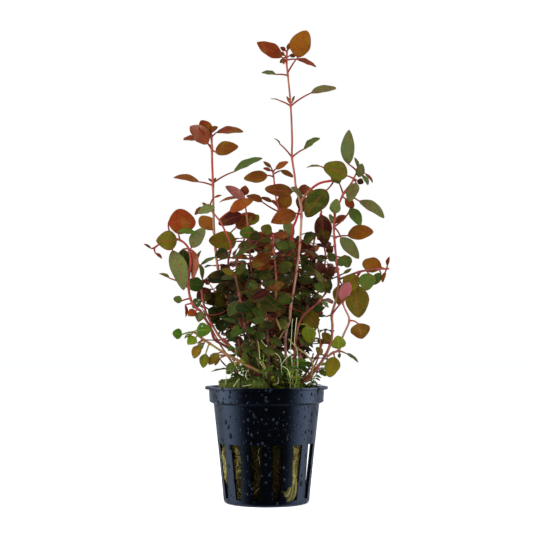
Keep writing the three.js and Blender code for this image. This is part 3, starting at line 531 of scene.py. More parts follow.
side_heights = np.linspace(WOOL_BOTTOM, SIDE_TOP, 84)
turn = np.arange(WOOL_AROUND) * 2 * math.pi / WOOL_AROUND
side_radius = wool_radius(turn[None, :], side_heights[:, None])
side_radius[0] -= 1.2 * MM
inward = np.linspace(1, 0.04, 40)[1:]
under = np.array([0.05, 0.3, 0.6, 0.85])
wool_rings = np.concatenate(
    [under[:, None] * side_radius[:1], side_radius, inward[:, None] * side_radius[-1:]]
)
wool_x = wool_rings * np.cos(turn)
wool_y = wool_rings * np.sin(turn)
top_rise = wool_top(wool_x[-len(inward) :], wool_y[-len(inward) :]) - SIDE_TOP
wool_z = np.concatenate(
    [
        np.full((len(under), WOOL_AROUND), WOOL_BOTTOM),
        side_heights[:, None] + 0 * turn,
        SIDE_TOP + smooth(1 - inward, 0, 0.07)[:, None] * top_rise,
    ]
)
wool_points = np.stack([wool_x, wool_y, wool_z], axis=-1).reshape(-1, 3)
rough = 0.4 * lumps(wool_points * [1, 1, 0.6], 2.2 * MM, 3) + 0.3 * lumps(wool_points, 0.8 * MM, 4)
on_top = wool_points[:, 2] > SIDE_TOP + 0.3 * MM
rough += on_top * (0.9 * lumps(wool_points, 1.7 * MM, 5) + 0.5 * lumps(wool_points, 0.9 * MM, 6))
out = wool_points * [1, 1, 0] + [0, 0, 1e-6]
out[on_top] = [0, 0, 1]
out /= np.linalg.norm(out, axis=1)[:, None]
inner_side = wool_points[:, 2] > 2.5 * MM
wool_points = wool_points + out * (rough * inner_side * MM)[:, None]


def skin_faces(rings, points, start=0):
    """Quads between a closed skin's rings of equally many points, and one face over each end."""
    ring = start + np.arange(rings - 1)[:, None] * points
    k = np.arange(points)[None, :]
    after = (k + 1) % points
    quads = np.stack([ring + k, ring + after, ring + points + after, ring + points + k], axis=-1)
    first = (start + np.arange(points))[::-1].tolist()
    last = (start + (rings - 1) * points + np.arange(points)).tolist()
    return quads.reshape(-1, 4).tolist() + [first, last]


wool = mesh_object("wool_wad", wool_points, skin_faces(len(wool_rings), WOOL_AROUND))
wool_stuff, wool_shader, on_wool = material("wet_mineral_wool", 0.9, Specular_IOR_Level=0.06)
where = on_wool.add("TexCoord", output="Object")
drawn = on_wool.add("Mapping", {"Vector": where, "Rotation": (0.3, 0.5, 0.2), "Scale": (1, 1, 0.22)})
strands = on_wool.noise(drawn, 900.0, 4.0, 0.7)
clumps = on_wool.noise(where, 110.0, 3.0)
mossy = (where.part(2) + 0.006 * clumps).step(0.052, 0.058)
browned = strands.step(0.3, 0.7).mix(linear(0x403814), linear(0xA8A05C))
shaded = (clumps.step(0.4, 0.62) * 0.8).mix(browned, linear(0x2A1E08))
# Painted shade: the wool at the front middle, between the side lights, is made near black.
front_shade_band = 1 - abs(where.part(0) + 0.003 * clumps).step(0.0095, 0.0125)
painted_front_shade = front_shade_band * (-1 * where.part(1)).step(0.0, 0.005)
shaded = (painted_front_shade * 0.97).mix(shaded, clumps.step(0.45, 0.75).mix(linear(0x040300), linear(0x1E1606)))
feed(
    wool_shader,
    Base_Color=mossy.mix(shaded, strands.step(0.3, 0.7).mix(linear(0x161E08), linear(0x4E5A26))),
    Normal=on_wool.add("Bump", {"Height": strands, "Distance": 0.6 * MM, "Strength": 1.0}),
)
wool.data.materials.append(wool_stuff)
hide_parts("wool_plug")
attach(wool, "root")

# Stems: twenty-two cuttings pushed into the wool, pinkish and round, tan or green at the foot and red
# towards the tip, with a knob wherever a pair of leaves stands. Each leaf is a thin stalk and an egg
# shaped blade, folded a little along its midrib, red, brown or olive high up and green low down.
# Sizes are millimetres. Radius and tone are those at the foot and at the tip. Blush is where along
# the stem the one tone begins to turn into the other and where it has done so. Pairs strews opposite
# leaves along the stem: from where to where, how many pairs, and their length. A path point is
# [x, z, depth]: x and z as seen from the front against the upright plane through the pot's axis, and
# how far the point lies behind it. A leaf is [size, stalk x, z, blade base x, z, blade tip x, z,
# width, depth of the tip behind the stalk's foot, face, tint, via x, z]. Size L is a leaf that is a
# piece of its own. Face is the turn of the upper side: 0 towards the front, 90 up, 180 away.
STEMS = [
    {
        "name": "tallest",
        "radius": (0.75, 0.45),
        "tone": (0xC8A090, 0xA45E4C),
        "blush": (0.5, 0.72),
        "path": [
            [7.5, 46, -3], [8.8, 62, -6], [8.8, 76, -9], [10.6, 83, -9.5], [11, 88, -9.5],
            [12.5, 97, -9], [14.2, 108, -8], [15.5, 120, -7], [16, 130, -6], [15.8, 135, -5],
            [13.6, 142.5, -3.5], [12.9, 149, -2.5], [11.7, 157.5, -1.5], [11.8, 165, -1],
            [11.1, 182, 0], [9.8, 196, 0.5], [9.3, 201, 0.5], [9.5, 207.2, 0.5],
        ],
        "leaves": [
            ["L", 9.8, 196, 14.4, 203.6, 18.5, 216.3, 10.3, -2, 15, "a"],
            ["L", 9.2, 201.5, 7, 203.8, -4.5, 210.7, 7.4, -3, 28, "r"],
            ["s", 9.5, 202.6, 14, 202.8, 23, 199.2, 4.6, 5, 60, "r"],
            ["s", 9.5, 206, 8.8, 206.8, 6.3, 208.4, 2.2, -1, 20, "r"],
            ["s", 9.5, 206.4, 9.8, 207, 11, 210.6, 2.2, 1, 20, "r"],
            ["s", 9.4, 204, 8.4, 204.6, 5.8, 205.9, 2, -1, 25, "b"],
            ["s", 9.4, 204, 10.6, 204.4, 13.4, 204.2, 2.2, 2, 30, "b"],
            ["s", 9.4, 202.4, 8.2, 202.6, 6.2, 201, 2, -2, 20, "m"],
            ["s", 9.8, 195, 4.5, 195.7, -2.4, 196.5, 4, -3, 60, "g"],
            ["L", 11.1, 181.5, 20.5, 187, 32.2, 189.3, 5.6, -2, 52, "h"],
            ["s", 11.1, 181.5, 6, 183.5, 1.7, 184.3, 2.4, 4, 80, "o"],
            ["s", 11.5, 157.5, 6, 163.5, 3.4, 166.1, 2.2, 4, 70, "g"],
            ["s", 12, 157, 17.2, 161, 24.7, 166, 4.8, -3, 52, "g"],
            ["L", 13.6, 142.3, 12, 141.3, -0.8, 142.5, 6.5, -4, 20, "b"],
            ["s", 13.8, 142, 14.2, 141.2, 21.6, 141.6, 5.8, 9, 25, "b"],
            ["s", 13.5, 143, 11.4, 143.2, 16.6, 138.8, 2.6, -3, 20, "h"],
            ["L", 15.9, 131, 13.5, 131.3, 2, 127, 7.5, -5, 12, "b"],
            ["s", 15.9, 130, 16.2, 131.8, 15.8, 139.6, 6.6, 13, 12, "k"],
            ["L", 11, 88, 16.5, 86, 23.4, 79, 8.2, -4, 15, "o"],
            ["s", 15.2, 117, 17, 118.5, 22.5, 121, 6, -5, 30, "d"],
            ["s", 15.2, 117, 13, 117.5, 6.5, 114.5, 6, -5, 25, "d"],
            ["s", 13.6, 104, 16, 105, 22, 103.5, 6, -6, 20, "d"],
            ["s", 13.6, 104, 11.5, 103, 5.5, 99.5, 6, -6, 20, "d"],
            ["s", 9.3, 203, 7.8, 203.4, 8, 200.3, 1.8, -2, 0, "r"],
            ["s", 11.1, 182, 10.2, 183, 9.2, 185.6, 1.3, -1, 30, "a"],
            ["s", 11.1, 182, 12, 183, 13.1, 185.7, 1.3, 1, 30, "a"],
            ["s", 11.8, 94, 12.6, 93.8, 15.4, 91.6, 2.6, -3, 30, "g"],
            ["s", 11, 93.5, 7.4, 95, 2.8, 93.4, 3.4, -4, 40, "g"],
        ],
    },
    {
        "name": "left_tall",
        "radius": (0.75, 0.58),
        "tone": (0xB08A70, 0xC24448),
        "blush": (0.74, 0.86),
        "path": [
            [-4, 46, 4], [-6, 62, 7], [-10, 75, 11], [-18, 92, 15], [-22, 105, 17], [-23.4, 115, 18],
            [-24.1, 125, 18], [-24.4, 135, 18], [-24.6, 145, 17], [-25, 155, 16], [-25.3, 166, 15],
            [-26, 171, 15],
        ],
        "leaves": [
            ["L", -25.2, 160.3, -27, 163.4, -35.2, 171.6, 9.4, -3, 150, "r"],
            ["s", -25.3, 166, -26.4, 168.2, -30.3, 174.3, 6.6, -2, 12, "r"],
            ["s", -25.6, 167.4, -26.2, 168.8, -22.3, 171.3, 3, -3, 25, "r"],
            ["s", -25.2, 162, -30, 165.8, -38.3, 165.3, 4.6, 5, 128, "r"],
            ["L", -25.2, 166, -23, 168.7, -10.6, 169, 6, -3, 54, "r"],
            ["L", -25.1, 160, -23.5, 159.6, -12.9, 162.2, 6.8, -5, 15, "a"],
            ["L", -24.4, 144.7, -15, 150.5, -1.8, 156.8, 6, -4, 54, "g"],
            ["L", -24.8, 144.5, -31, 145.8, -42.8, 147.7, 6, -4, 58, "a"],
            ["L", -23.2, 115, -14, 124.8, -5, 130.8, 8, -6, 22, "b", -17.5, 121.5],
            ["L", -24, 120, -24.6, 123.6, -30.2, 130, 7.6, 6, 20, "a"],
            ["s", -18, 92, -18.6, 91.8, -26.2, 92, 8, -7, 15, "e"],
            ["s", -16.5, 88.5, -17.8, 87.4, -25.4, 85, 6, -3, 20, "d"],
            ["s", -13, 81, -14.6, 81, -21.6, 80.2, 5.4, -3, 20, "k"],
            ["s", -12, 79, -13.2, 77.6, -18.6, 74.8, 4.4, -3, 20, "d"],
            ["s", -24.6, 145, -25, 145.8, -26.8, 147.4, 1.2, 1, 20, "r"],
            ["s", -24.6, 145, -24.1, 145.8, -23.2, 147.8, 1.2, 1, 20, "r"],
            ["s", -14, 83, -15.5, 84.5, -21.5, 84, 5, 3, 25, "d"],
        ],
        "pairs": (0.34, 0.5, 2, 8),
    },
    {
        "name": "left_curved",
        "radius": (0.7, 0.5),
        "tone": (0x8A5A40, 0x90443C),
        "path": [
            [-4, 46, -7], [-9, 62, -8], [-14, 68.3, -7], [-20, 73.2, -6], [-25, 80.5, -5],
            [-28.3, 88, -4], [-29.5, 95, -4], [-30, 99, -4],
        ],
        "leaves": [
            ["s", -30, 98, -28.8, 98.4, -37.4, 99, 6.8, -4, 12, "d"],
            ["s", -29.5, 95, -25.4, 96, -31.8, 91.2, 7, 5, 20, "k"],
            ["L", -30, 98.5, -27.5, 101.3, -15, 101, 7, -3, 28, "d"],
            ["s", -29.8, 98, -21.5, 101.2, -13.5, 103.3, 4.4, 6, 58, "g", -26.5, 104.3],
            ["s", -29, 92, -29.8, 91.5, -33.8, 88, 4.6, 5, 20, "d"],
            ["s", -29.5, 95, -27.6, 94.6, -24, 89.6, 6, 6, 25, "m"],
            ["s", -28.3, 88, -26.6, 87.4, -22, 83.6, 6, 5, 20, "d"],
            ["s", -25, 80.5, -23.4, 81, -18.2, 78.4, 6, 4, 20, "d"],
            ["s", -22, 76, -20.8, 77.6, -17.2, 83, 5.6, 6, 25, "d"],
            ["s", -20, 73.2, -18.2, 74.2, -13.4, 75.4, 5, 4, 20, "g"],
        ],
    },
    {
        "name": "left_arch",
        "radius": (0.75, 0.5),
        "tone": (0x844A3A, 0xB8544E),
        "path": [
            [-0.5, 46, -11], [-5, 59, -13], [-13.5, 67, -14.5], [-20, 71.3, -15.5], [-23.7, 73.5, -16],
            [-25.5, 79, -16], [-28, 83, -16.5], [-30, 86.5, -17], [-33, 88.6, -17], [-35.2, 94, -16],
            [-35.5, 102, -15], [-34.7, 108, -15], [-34.9, 112, -14], [-36.5, 116.5, -13],
            [-40.5, 119.3, -12], [-45.5, 119, -11], [-50, 116.5, -10], [-51.6, 115.2, -10],
        ],
        "leaves": [
            ["L", -42.5, 119.5, -45, 127, -32.4, 127, 11.8, 2, 12, "r", -45.4, 122.5],
            ["s", -40, 119.1, -40.6, 123, -32.3, 122.2, 3.6, -6, 40, "f"],
            ["L", -41.5, 119.3, -41, 119.3, -50.6, 118.6, 9, -5, 5, "e"],
            ["s", -51.5, 115.2, -52.8, 115.1, -56.3, 117.2, 2, -2, 55, "r"],
            ["s", -51.5, 115.2, -50.9, 113, -47.9, 110.4, 2.6, -2, 55, "r"],
            ["L", -44, 119.2, -43, 114.2, -37.8, 96, 8, -7, 10, "h", -44, 116.6],
            ["s", -35.5, 114.6, -38.4, 114.8, -37.6, 103.4, 8, 4, 15, "d"],
            ["L", -35.2, 114.4, -34.4, 115.6, -28.3, 124.5, 6.5, -3, 20, "h"],
            ["s", -35.1, 113.6, -34, 114.4, -33.7, 101.2, 6.2, -4, 132, "r"],
            ["s", -35.4, 97, -44.5, 101.6, -49.4, 103.6, 2.6, 11, 55, "o"],
            ["s", -34.8, 91.6, -38.6, 91.2, -42.6, 92.3, 3.4, -2, 10, "g"],
            ["s", -34.9, 106, -30, 107.6, -22.5, 111.2, 3.6, 4, 62, "g"],
            ["s", -34.8, 108.5, -31, 108, -29.3, 100.7, 3.8, 2, 55, "g"],
            ["s", -34.8, 107.5, -32, 109, -30, 114.3, 3.4, 4, 62, "y"],
            ["s", -31, 87.3, -32.2, 86.6, -36, 84.4, 4, -3, 15, "r"],
            ["s", -28.5, 84, -29.6, 86.2, -31, 81.4, 4.4, -3, 10, "h"],
            ["s", -34, 89.9, -37.2, 89.2, -37, 83.6, 3, 2, 62, "r"],
            ["s", -35.4, 103, -36, 103.6, -37.9, 108, 3.2, 2, 40, "o"],
        ],
    },
    {
        "name": "low_left",
        "radius": (0.7, 0.5),
        "tone": (0x969050, 0x989848),
        "path": [
            [4, 46, -14], [2, 56, -16.5], [-5, 59.8, -18.5], [-10, 62.4, -19.5], [-18, 66.7, -20.5],
            [-26, 71.8, -21], [-29.8, 74.3, -21], [-33, 77, -21],
        ],
        "leaves": [
            ["s", -33, 77, -32, 77.7, -25.2, 77.8, 6.6, -4, 10, "f"],
            ["s", -33, 77, -38.5, 75.8, -42.9, 76.5, 4.8, -2, 10, "f"],
            ["s", -31.5, 75.5, -32.3, 74.5, -36, 71.3, 4.6, -4, 10, "y"],
            ["s", -29, 73.6, -31.2, 70.8, -33, 64.8, 4.5, -3, 15, "o"],
            ["s", -25.6, 71.5, -27.7, 67, -28.8, 60.5, 4.5, -3, 12, "y"],
            ["s", -20, 68, -22, 67.3, -26.4, 62, 4.4, -3, 15, "o"],
            ["s", -33, 76.8, -34, 76.2, -37.4, 73.9, 2.4, -3, 50, "g"],
            ["s", -18, 66.7, -21.3, 65, -23.6, 61.7, 2, 3, 30, "p"],
            ["s", -12, 63.5, -14, 61.6, -16.5, 58.4, 2.4, 2, 15, "g"],
            ["s", -28, 73, -28.4, 71.8, -31.4, 68, 3.6, 4, 38, "g"],
            ["s", -14, 64.6, -15.2, 62.8, -18.4, 59.5, 2.8, -2, 15, "g"],
            ["s", -8, 61.4, -8.6, 63.6, -11, 67.4, 3, -3, 20, "g"],
        ],
    },
    {
        "name": "inner_left",
        "radius": (0.7, 0.45),
        "tone": (0x4E4022, 0x54341E),
        "path": [
            [-1.5, 46, -15.5], [-3.5, 62, -16], [-6.5, 72, -17.5], [-10, 79, -18], [-10.5, 84, -18.5],
            [-12, 92, -19], [-14.3, 102.5, -19],
        ],
        "leaves": [
            ["s", -10, 81, -7, 82.4, 1, 83.5, 5.6, -5, 15, "g"],
            ["s", -10, 80.4, -11, 79.6, -16, 74.8, 5, -3, 15, "g"],
            ["s", -10, 81, -13, 80.4, -20, 83, 4, 3, 58, "g"],
            ["L", -12.5, 94, -9.5, 95.6, 4, 90, 7.5, -3, 18, "d"],
            ["s", -11.8, 91, -13, 90.4, -17.4, 84, 5, 3, 20, "g"],
            ["s", -14.2, 102, -13.8, 103.4, -9.4, 108.2, 3.8, -2, 20, "g"],
            ["s", -6.5, 72, -5, 72.2, -0.5, 68.5, 3.4, -3, 25, "y"],
            ["s", -10, 79.4, -9, 78.8, -5.3, 75.8, 3.6, -4, 20, "g"],
            ["s", -11.4, 88, -14, 88.4, -7.2, 86.4, 5.6, -4, 15, "d"],
            ["s", -5, 67.6, -7.6, 68, -1.8, 65.8, 3.8, -4, 20, "g"],
            ["s", -14.2, 102, -15, 103.2, -20.6, 105.4, 3.8, -2, 30, "o"],
            ["s", -6.5, 72, -8, 71.8, -10.6, 66.6, 3.2, -3, 15, "g"],
        ],
    },
    {
        "name": "centre_left",
        "radius": (0.7, 0.45),
        "tone": (0x523428, 0xB8504A),
        "blush": (0.62, 0.85),
        "path": [
            [-1, 46, -1], [-4, 65, -1], [-8, 80, -2], [-13, 95, -3], [-17.5, 108, -4],
            [-16.3, 116.3, -5], [-18.5, 122, -5], [-21.4, 127.8, -5], [-24, 131, -5], [-26, 134, -5],
        ],
        "leaves": [
            ["L", -21.3, 127.8, -16.8, 132.2, -6, 137.5, 6.5, -4, 38, "r"],
            ["s", -24.5, 131.8, -24, 134.4, -31.3, 131.2, 5, -3, 32, "h"],
            ["s", -26, 134, -28.8, 134, -33, 130.6, 3, 2, 35, "r"],
            ["s", -26, 134, -24, 138.6, -20.4, 139.6, 1.8, 1, 50, "r", -25.6, 137.4],
            ["s", -16.6, 113, -17.6, 113.4, -23.5, 111.5, 6, -4, 20, "d"],
            ["s", -13, 95, -14.5, 96, -20.6, 95, 6, -3, 25, "d"],
            ["s", -26, 134, -27.5, 135, -29.7, 136.1, 1.5, -1, 30, "r"],
            ["s", -17.3, 107, -18, 107.4, -21, 105, 3.4, -3, 20, "b"],
            ["s", -13, 95, -11, 96.5, -5, 98.5, 6, 3, 25, "b"],
            ["s", -16.4, 104, -13.6, 103.2, -20.8, 101, 3.8, -5, 20, "h"],
            ["s", -14.6, 99.4, -17.4, 99.6, -10.6, 96.2, 5, -4, 20, "d"],
        ],
        "pairs": (0.2, 0.34, 2, 7),
    },
    {
        "name": "centre",
        "radius": (0.7, 0.4),
        "tone": (0x6E4634, 0x9A443A),
        "path": [
            [2, 46, 3], [0, 65, 4], [-3, 85, 6], [-6, 100, 8], [-7.5, 111, 9], [-7.7, 118, 9],
            [-8.6, 126, 9], [-9.3, 132, 9], [-9.8, 135, 9], [-11, 138.6, 9],
        ],
        "leaves": [
            ["L", -7.7, 118, -14, 118.4, -26.5, 118.7, 9.3, -10, 12, "o"],
            ["L", -9, 130.5, -11, 130.7, -22, 126.3, 6.5, 4, 8, "k"],
            ["s", -10.7, 138, -9.8, 137.6, -18.8, 143.8, 5, -3, 155, "p"],
            ["s", -11, 138.3, -10.4, 139.6, -9.6, 144.2, 4.5, -1, 10, "r"],
            ["s", -11, 138.4, -12.2, 138.5, -21.8, 136.3, 3.4, 3, 64, "b"],
            ["s", -8.6, 125.5, -7.4, 126, -3.6, 130.6, 4.6, 5, 15, "o"],
            ["s", -7.5, 110.8, -8.6, 110.6, -16.2, 111, 4.4, 3, 58, "r"],
            ["s", -6.2, 101, -5.4, 101.8, -2.2, 106.3, 3.6, -4, 15, "g"],
            ["s", -6.6, 104, -8, 104.6, -11.5, 102, 4, -3, 15, "g"],
        ],
        "pairs": (0.3, 0.52, 3, 8),
    },
    {
        "name": "middle",
        "radius": (0.7, 0.4),
        "tone": (0x9A6A50, 0xB84A46),
        "path": [
            [5, 46, 7], [6, 65, 10], [8, 85, 13], [10, 100, 15], [11.5, 112, 16], [11.5, 119, 16],
            [10, 121.5, 16], [8.5, 127, 16], [5.8, 132.4, 16], [4.4, 138, 16], [3.7, 144.5, 16],
            [3, 150.5, 16],
        ],
        "leaves": [
            ["s", 3, 150, 2, 151, -1.6, 152.2, 1.9, -2, 20, "r"],
            ["s", 3, 149.7, 2.2, 152.4, -1.5, 155.3, 2, 1, 20, "r"],
            ["s", 3, 150.4, 4.2, 151.8, 10.2, 155.1, 4, -2, 42, "r"],
            ["s", 3.1, 148.9, 6.5, 151, 12.3, 147.9, 3.2, 2, 35, "b"],
            ["L", 3.2, 148.3, 0.5, 148.8, -10.5, 147.3, 6, -3, 14, "a"],
            ["s", 5.8, 132.4, -2, 136.6, -9.2, 139.4, 4.6, 4, 38, "b", 2.5, 133.2],
            ["s", 5.8, 132.4, 6.2, 133.4, 10.4, 140.4, 7.2, 3, 10, "a"],
            ["s", 8.6, 127, 8.8, 127.8, 11.8, 119.8, 5.4, -3, 20, "h"],
            ["s", 5.2, 135, 4.4, 136, 2.4, 137.4, 1.6, -1, 20, "r"],
            ["s", 5.4, 134, 2.6, 136.6, -2.6, 138.6, 2.4, -2, 30, "b"],
        ],
        "pairs": (0.3, 0.62, 4, 8),
    },
    {
        "name": "middle_short",
        "radius": (0.7, 0.45),
        "tone": (0x8A6A48, 0xA0583C),
        "path": [
            [6, 46, -9], [4, 65, -13], [3.5, 80, -14.5], [4.4, 95, -14.5], [4.2, 105, -14],
            [3.3, 113, -13.5], [3, 121.5, -13],
        ],
        "leaves": [
            ["s", 3.3, 113, 1.8, 112.4, -6.6, 106.4, 6.2, -4, 15, "b"],
            ["s", 3.2, 116, -3.5, 116.5, -15.4, 110.2, 4.6, -3, 60, "d"],
            ["s", 3, 119, 2, 119.2, -2.8, 118.4, 3.6, -3, 10, "m"],
            ["s", 3, 121, -5, 122, -12.3, 122.5, 6, 3, 10, "m"],
            ["s", 3, 121.4, 2.4, 122.6, -2.6, 124.8, 5.2, -2, 15, "m"],
            ["s", 3, 120.4, -2.6, 121, -8, 119.8, 4.6, -4, 15, "m"],
            ["s", 3.1, 117, 4.6, 117.2, 10, 115, 4.6, -4, 20, "g"],
            ["s", 4.3, 104, 5.6, 104.6, 12, 108, 5.4, -3, 20, "m"],
            ["s", 4.3, 104, 3, 104, -3.5, 101, 5.4, -3, 20, "d"],
            ["s", 4.2, 92, 5.4, 92.6, 12, 90.6, 6, -4, 20, "d"],
            ["s", 3.6, 82, 4.8, 82, 9.6, 78, 4.6, -4, 20, "g"],
            ["s", 3.6, 80, 6.6, 80, -0.6, 75.6, 5.8, -4, 15, "k"],
            ["s", 4.2, 90, 1, 90.4, 8.4, 86, 6.2, -4, 15, "d"],
            ["s", 4.4, 98, 7.6, 99.4, -0.4, 95.4, 5, -4, 25, "b"],
            ["s", 3.6, 68, 1.4, 68.6, 7.6, 65.8, 4.2, -4, 20, "g"],
        ],
    },
    {
        "name": "red_arch",
        "radius": (0.75, 0.6),
        "tone": (0x8A4A3A, 0xB83C38),
        "blush": (0.5, 0.7),
        "path": [
            [10, 46, 10], [13, 65, 10], [14.5, 85, 9], [15, 100, 6], [12.4, 112, -1],
            [11.8, 123.5, -1.6], [13.5, 128, -1.4], [14.8, 132, -1.2], [15.8, 136.5, 0], [19, 141, -1],
            [24, 145, -3], [31, 146.6, -6],
        ],
        "leaves": [
            ["L", 31, 146.6, 27.6, 142, 18.2, 129.6, 10, -7, 5, "m", 30.2, 144.4],
            ["s", 31, 146.6, 25, 153, 18.2, 152.2, 3, 4, 70, "o", 28.6, 152],
            ["s", 11.9, 118, 12.8, 118.4, 18, 115, 5.4, 5, 20, "b"],
        ],
        "pairs": (0.3, 0.45, 2, 8),
    },
    {
        "name": "right_tall",
        "radius": (0.8, 0.45),
        "tone": (0xB47E6C, 0xB44850),
        "blush": (0.45, 0.7),
        "path": [
            [13, 46, -5], [14.5, 52.5, -5], [18.5, 55.5, -5], [22.5, 60, -5], [27, 66.5, -4],
            [29.5, 73, -3], [30.1, 80, -2], [29.8, 84.5, -2], [31.8, 92, -2], [33, 100.8, -3],
            [32.2, 108, -5], [31.3, 117, -7], [30.9, 124.6, -8], [31.5, 131, -9], [33.8, 137, -10],
            [35.5, 140.6, -11], [39.5, 146, -12], [41.2, 149.5, -12], [43, 151, -12],
        ],
        "leaves": [
            ["L", 41.5, 150, 37.7, 154, 38, 170, 6.5, -3, 15, "h"],
            ["L", 40.3, 147, 37, 148.6, 26.3, 153.2, 8.8, -4, 10, "e"],
            ["s", 42, 150.5, 41.9, 152.4, 40.5, 157.2, 2.4, 2, 45, "g"],
            ["s", 42.4, 150.5, 42.4, 148, 43.9, 154.4, 4.4, -2, 15, "h"],
            ["s", 43, 151, 44.2, 149, 46.6, 144.2, 3, -2, 42, "g"],
            ["s", 43, 151, 45.2, 149.7, 48.8, 145.2, 2.4, 2, 55, "b"],
            ["s", 40.3, 146.8, 41.2, 145.2, 38, 136.7, 5.8, -5, 15, "h"],
            ["L", 36, 141, 42.5, 137, 54, 129.1, 6, -2, 38, "h", 39.5, 138.9],
            ["s", 34.6, 138.8, 36.2, 138, 40.1, 133.9, 4.2, 2, 15, "r"],
            ["s", 35.5, 140.6, 33.5, 145, 30, 150, 5, 5, 20, "d"],
            ["s", 31, 124.8, 38.4, 133.6, 43.1, 125.7, 5.4, -3, 15, "g", 37.6, 129.6],
            ["L", 30.9, 120.3, 37.2, 121, 49, 123, 7.2, 4, 18, "a"],
            ["s", 31, 126, 31.8, 126.8, 36.4, 130.4, 4.4, 3, 38, "r"],
            ["s", 31.4, 130, 30.9, 131.4, 32.4, 138, 5.2, -5, 10, "h"],
            ["s", 31.2, 129, 29, 130.8, 30, 126.4, 3, -3, 42, "g"],
            ["L", 31, 124.4, 34, 120.2, 42.2, 110.4, 6.6, -4, 28, "h", 33.2, 123],
            ["s", 32, 108, 32.8, 107.6, 37, 110.6, 4, -3, 10, "g"],
            ["s", 31.8, 109.4, 36, 112, 37.4, 106.4, 5, 3, 15, "g"],
            ["s", 31.4, 116, 30.4, 116, 27.4, 113.4, 3.8, 3, 10, "b"],
            ["L", 29.8, 84.5, 34.8, 90.8, 37.4, 99.9, 6.2, -12, 155, "p"],
            ["s", 33, 100.6, 34.4, 98.6, 33, 89.2, 6.4, 4, 15, "o"],
            ["s", 32.9, 102.4, 35.2, 103.6, 39, 106, 1.8, 1, 20, "o"],
            ["s", 32.9, 102.4, 30.8, 101.6, 26.8, 101.2, 2.4, -2, 45, "k"],
            ["s", 29.4, 72.8, 28.6, 72.4, 25.4, 76.6, 4.5, -2, 15, "o"],
            ["s", 26.5, 66, 25.2, 66.6, 22.6, 70, 3.4, -2, 15, "o"],
            ["s", 22.5, 60, 24, 59.8, 27.3, 56.8, 2.8, -2, 20, "g"],
            ["s", 19.5, 56.4, 19, 59, 15.4, 60.7, 2.4, -2, 20, "g"],
            ["s", 29.8, 84.4, 27.5, 84, 23.2, 83.7, 3, -2, 65, "g"],
            ["s", 28.8, 71.3, 25.9, 71.7, 23.2, 73.3, 2.8, 2, 20, "b"],
            ["s", 22, 59.4, 20.8, 61.6, 16.5, 62.6, 2.8, -2, 20, "g"],
            ["s", 31.8, 109, 31, 109.4, 28, 113.2, 4, -2, 10, "g"],
            ["s", 40.5, 147.2, 41.7, 146.4, 44.6, 145.2, 3, -1, 10, "k"],
        ],
    },
    {
        "name": "right_side",
        "radius": (0.6, 0.4),
        "tone": (0x8A4844, 0x94564A),
        "path": [
            [33, 101, -3], [35.3, 101.8, -3.5], [37, 102.5, -4], [42, 104.3, -5], [46, 105.2, -5.5],
            [50, 105.7, -6], [54, 105.8, -6], [56.2, 105.9, -6],
        ],
        "leaves": [
            ["L", 46, 105.2, 46.7, 103.8, 45.5, 95.8, 7.8, -4, 8, "g"],
            ["s", 51, 105.7, 52.3, 103.9, 48.4, 98.4, 4.2, 2, 12, "g"],
            ["s", 54, 105.8, 52.6, 106.4, 43.9, 108.7, 7.4, 4, 15, "a"],
            ["s", 55, 105.9, 55.3, 107.2, 56.4, 111.4, 2.2, -1, 40, "r"],
            ["s", 54.6, 105.8, 54.4, 104.4, 53.2, 99.5, 3, -2, 48, "b"],
            ["L", 42, 104.3, 41.7, 102.8, 36, 94.8, 8, -1, 12, "o"],
            ["L", 42.6, 104.4, 40.2, 98.6, 42.2, 83.4, 11, 4, 8, "o"],
        ],
    },
    {
        "name": "right_low",
        "radius": (0.6, 0.45),
        "tone": (0xBC9682, 0xC48A7C),
        "path": [
            [27.6, 65.6, -7], [30, 67.4, -8], [33, 68.7, -9], [33.8, 72.5, -9], [35.5, 76.5, -9],
            [37.8, 82.5, -9], [35.8, 87.5, -9], [34.8, 90, -9],
        ],
        "leaves": [
            ["L", 37.8, 82.5, 41.8, 80.8, 43.6, 73.8, 9, -3, 8, "a", 39.6, 82.6],
            ["s", 33.2, 69, 32.7, 69.4, 32.5, 75.3, 6.8, -5, 10, "y"],
            ["L", 30.5, 67.8, 31, 65.6, 28.5, 56.3, 7.2, -4, 10, "o"],
            ["s", 33, 68.6, 36, 67.3, 41.9, 63, 3, -1, 60, "g"],
            ["s", 32.8, 68.6, 33.4, 67.2, 33.2, 65, 1.7, -1, 20, "g"],
            ["s", 34.8, 90, 35.6, 91.4, 39.4, 93.6, 3.6, 2, 25, "o"],
        ],
    },
    {
        "name": "inner_right",
        "radius": (0.65, 0.45),
        "tone": (0x8E4A3C, 0x6E3028),
        "path": [
            [9.5, 46, -9], [12, 60, -13], [13.5, 75, -14.5], [14.6, 80, -14.5], [17, 84.6, -14],
            [21.5, 88.5, -12], [24.5, 91.5, -10], [27, 94.6, -8],
        ],
        "leaves": [
            ["s", 14.6, 80, 18.6, 79.6, 19.8, 71.8, 6.6, -5, 10, "y", 17.8, 81.2],
            ["s", 20.5, 87.7, 21.5, 87.1, 26.6, 88, 4, -4, 15, "d"],
            ["s", 12.9, 71, 15, 69.8, 21, 68, 3, 3, 55, "d"],
            ["s", 27, 94.6, 26.4, 95.6, 21.4, 98.6, 4.6, -3, 20, "g"],
            ["s", 27, 94.6, 27.9, 95.6, 29.2, 101.4, 4.6, -3, 25, "d"],
            ["s", 27, 94.6, 25.7, 99.2, 21.4, 105.6, 3, -5, 25, "h"],
            ["s", 24, 91, 25, 90.6, 28.5, 88.2, 2.8, 3, 52, "g"],
            ["s", 13.3, 74.4, 15, 74, 18.4, 70, 2.6, -3, 20, "g"],
        ],
    },
    {
        "name": "inner_tall",
        "radius": (0.7, 0.45),
        "tone": (0x9A6A50, 0xA85048),
        "path": [
            [12.5, 46, 4], [14.5, 62, 5], [17, 78, 6], [19, 92, 7], [19.5, 104, 8], [21, 114, 8],
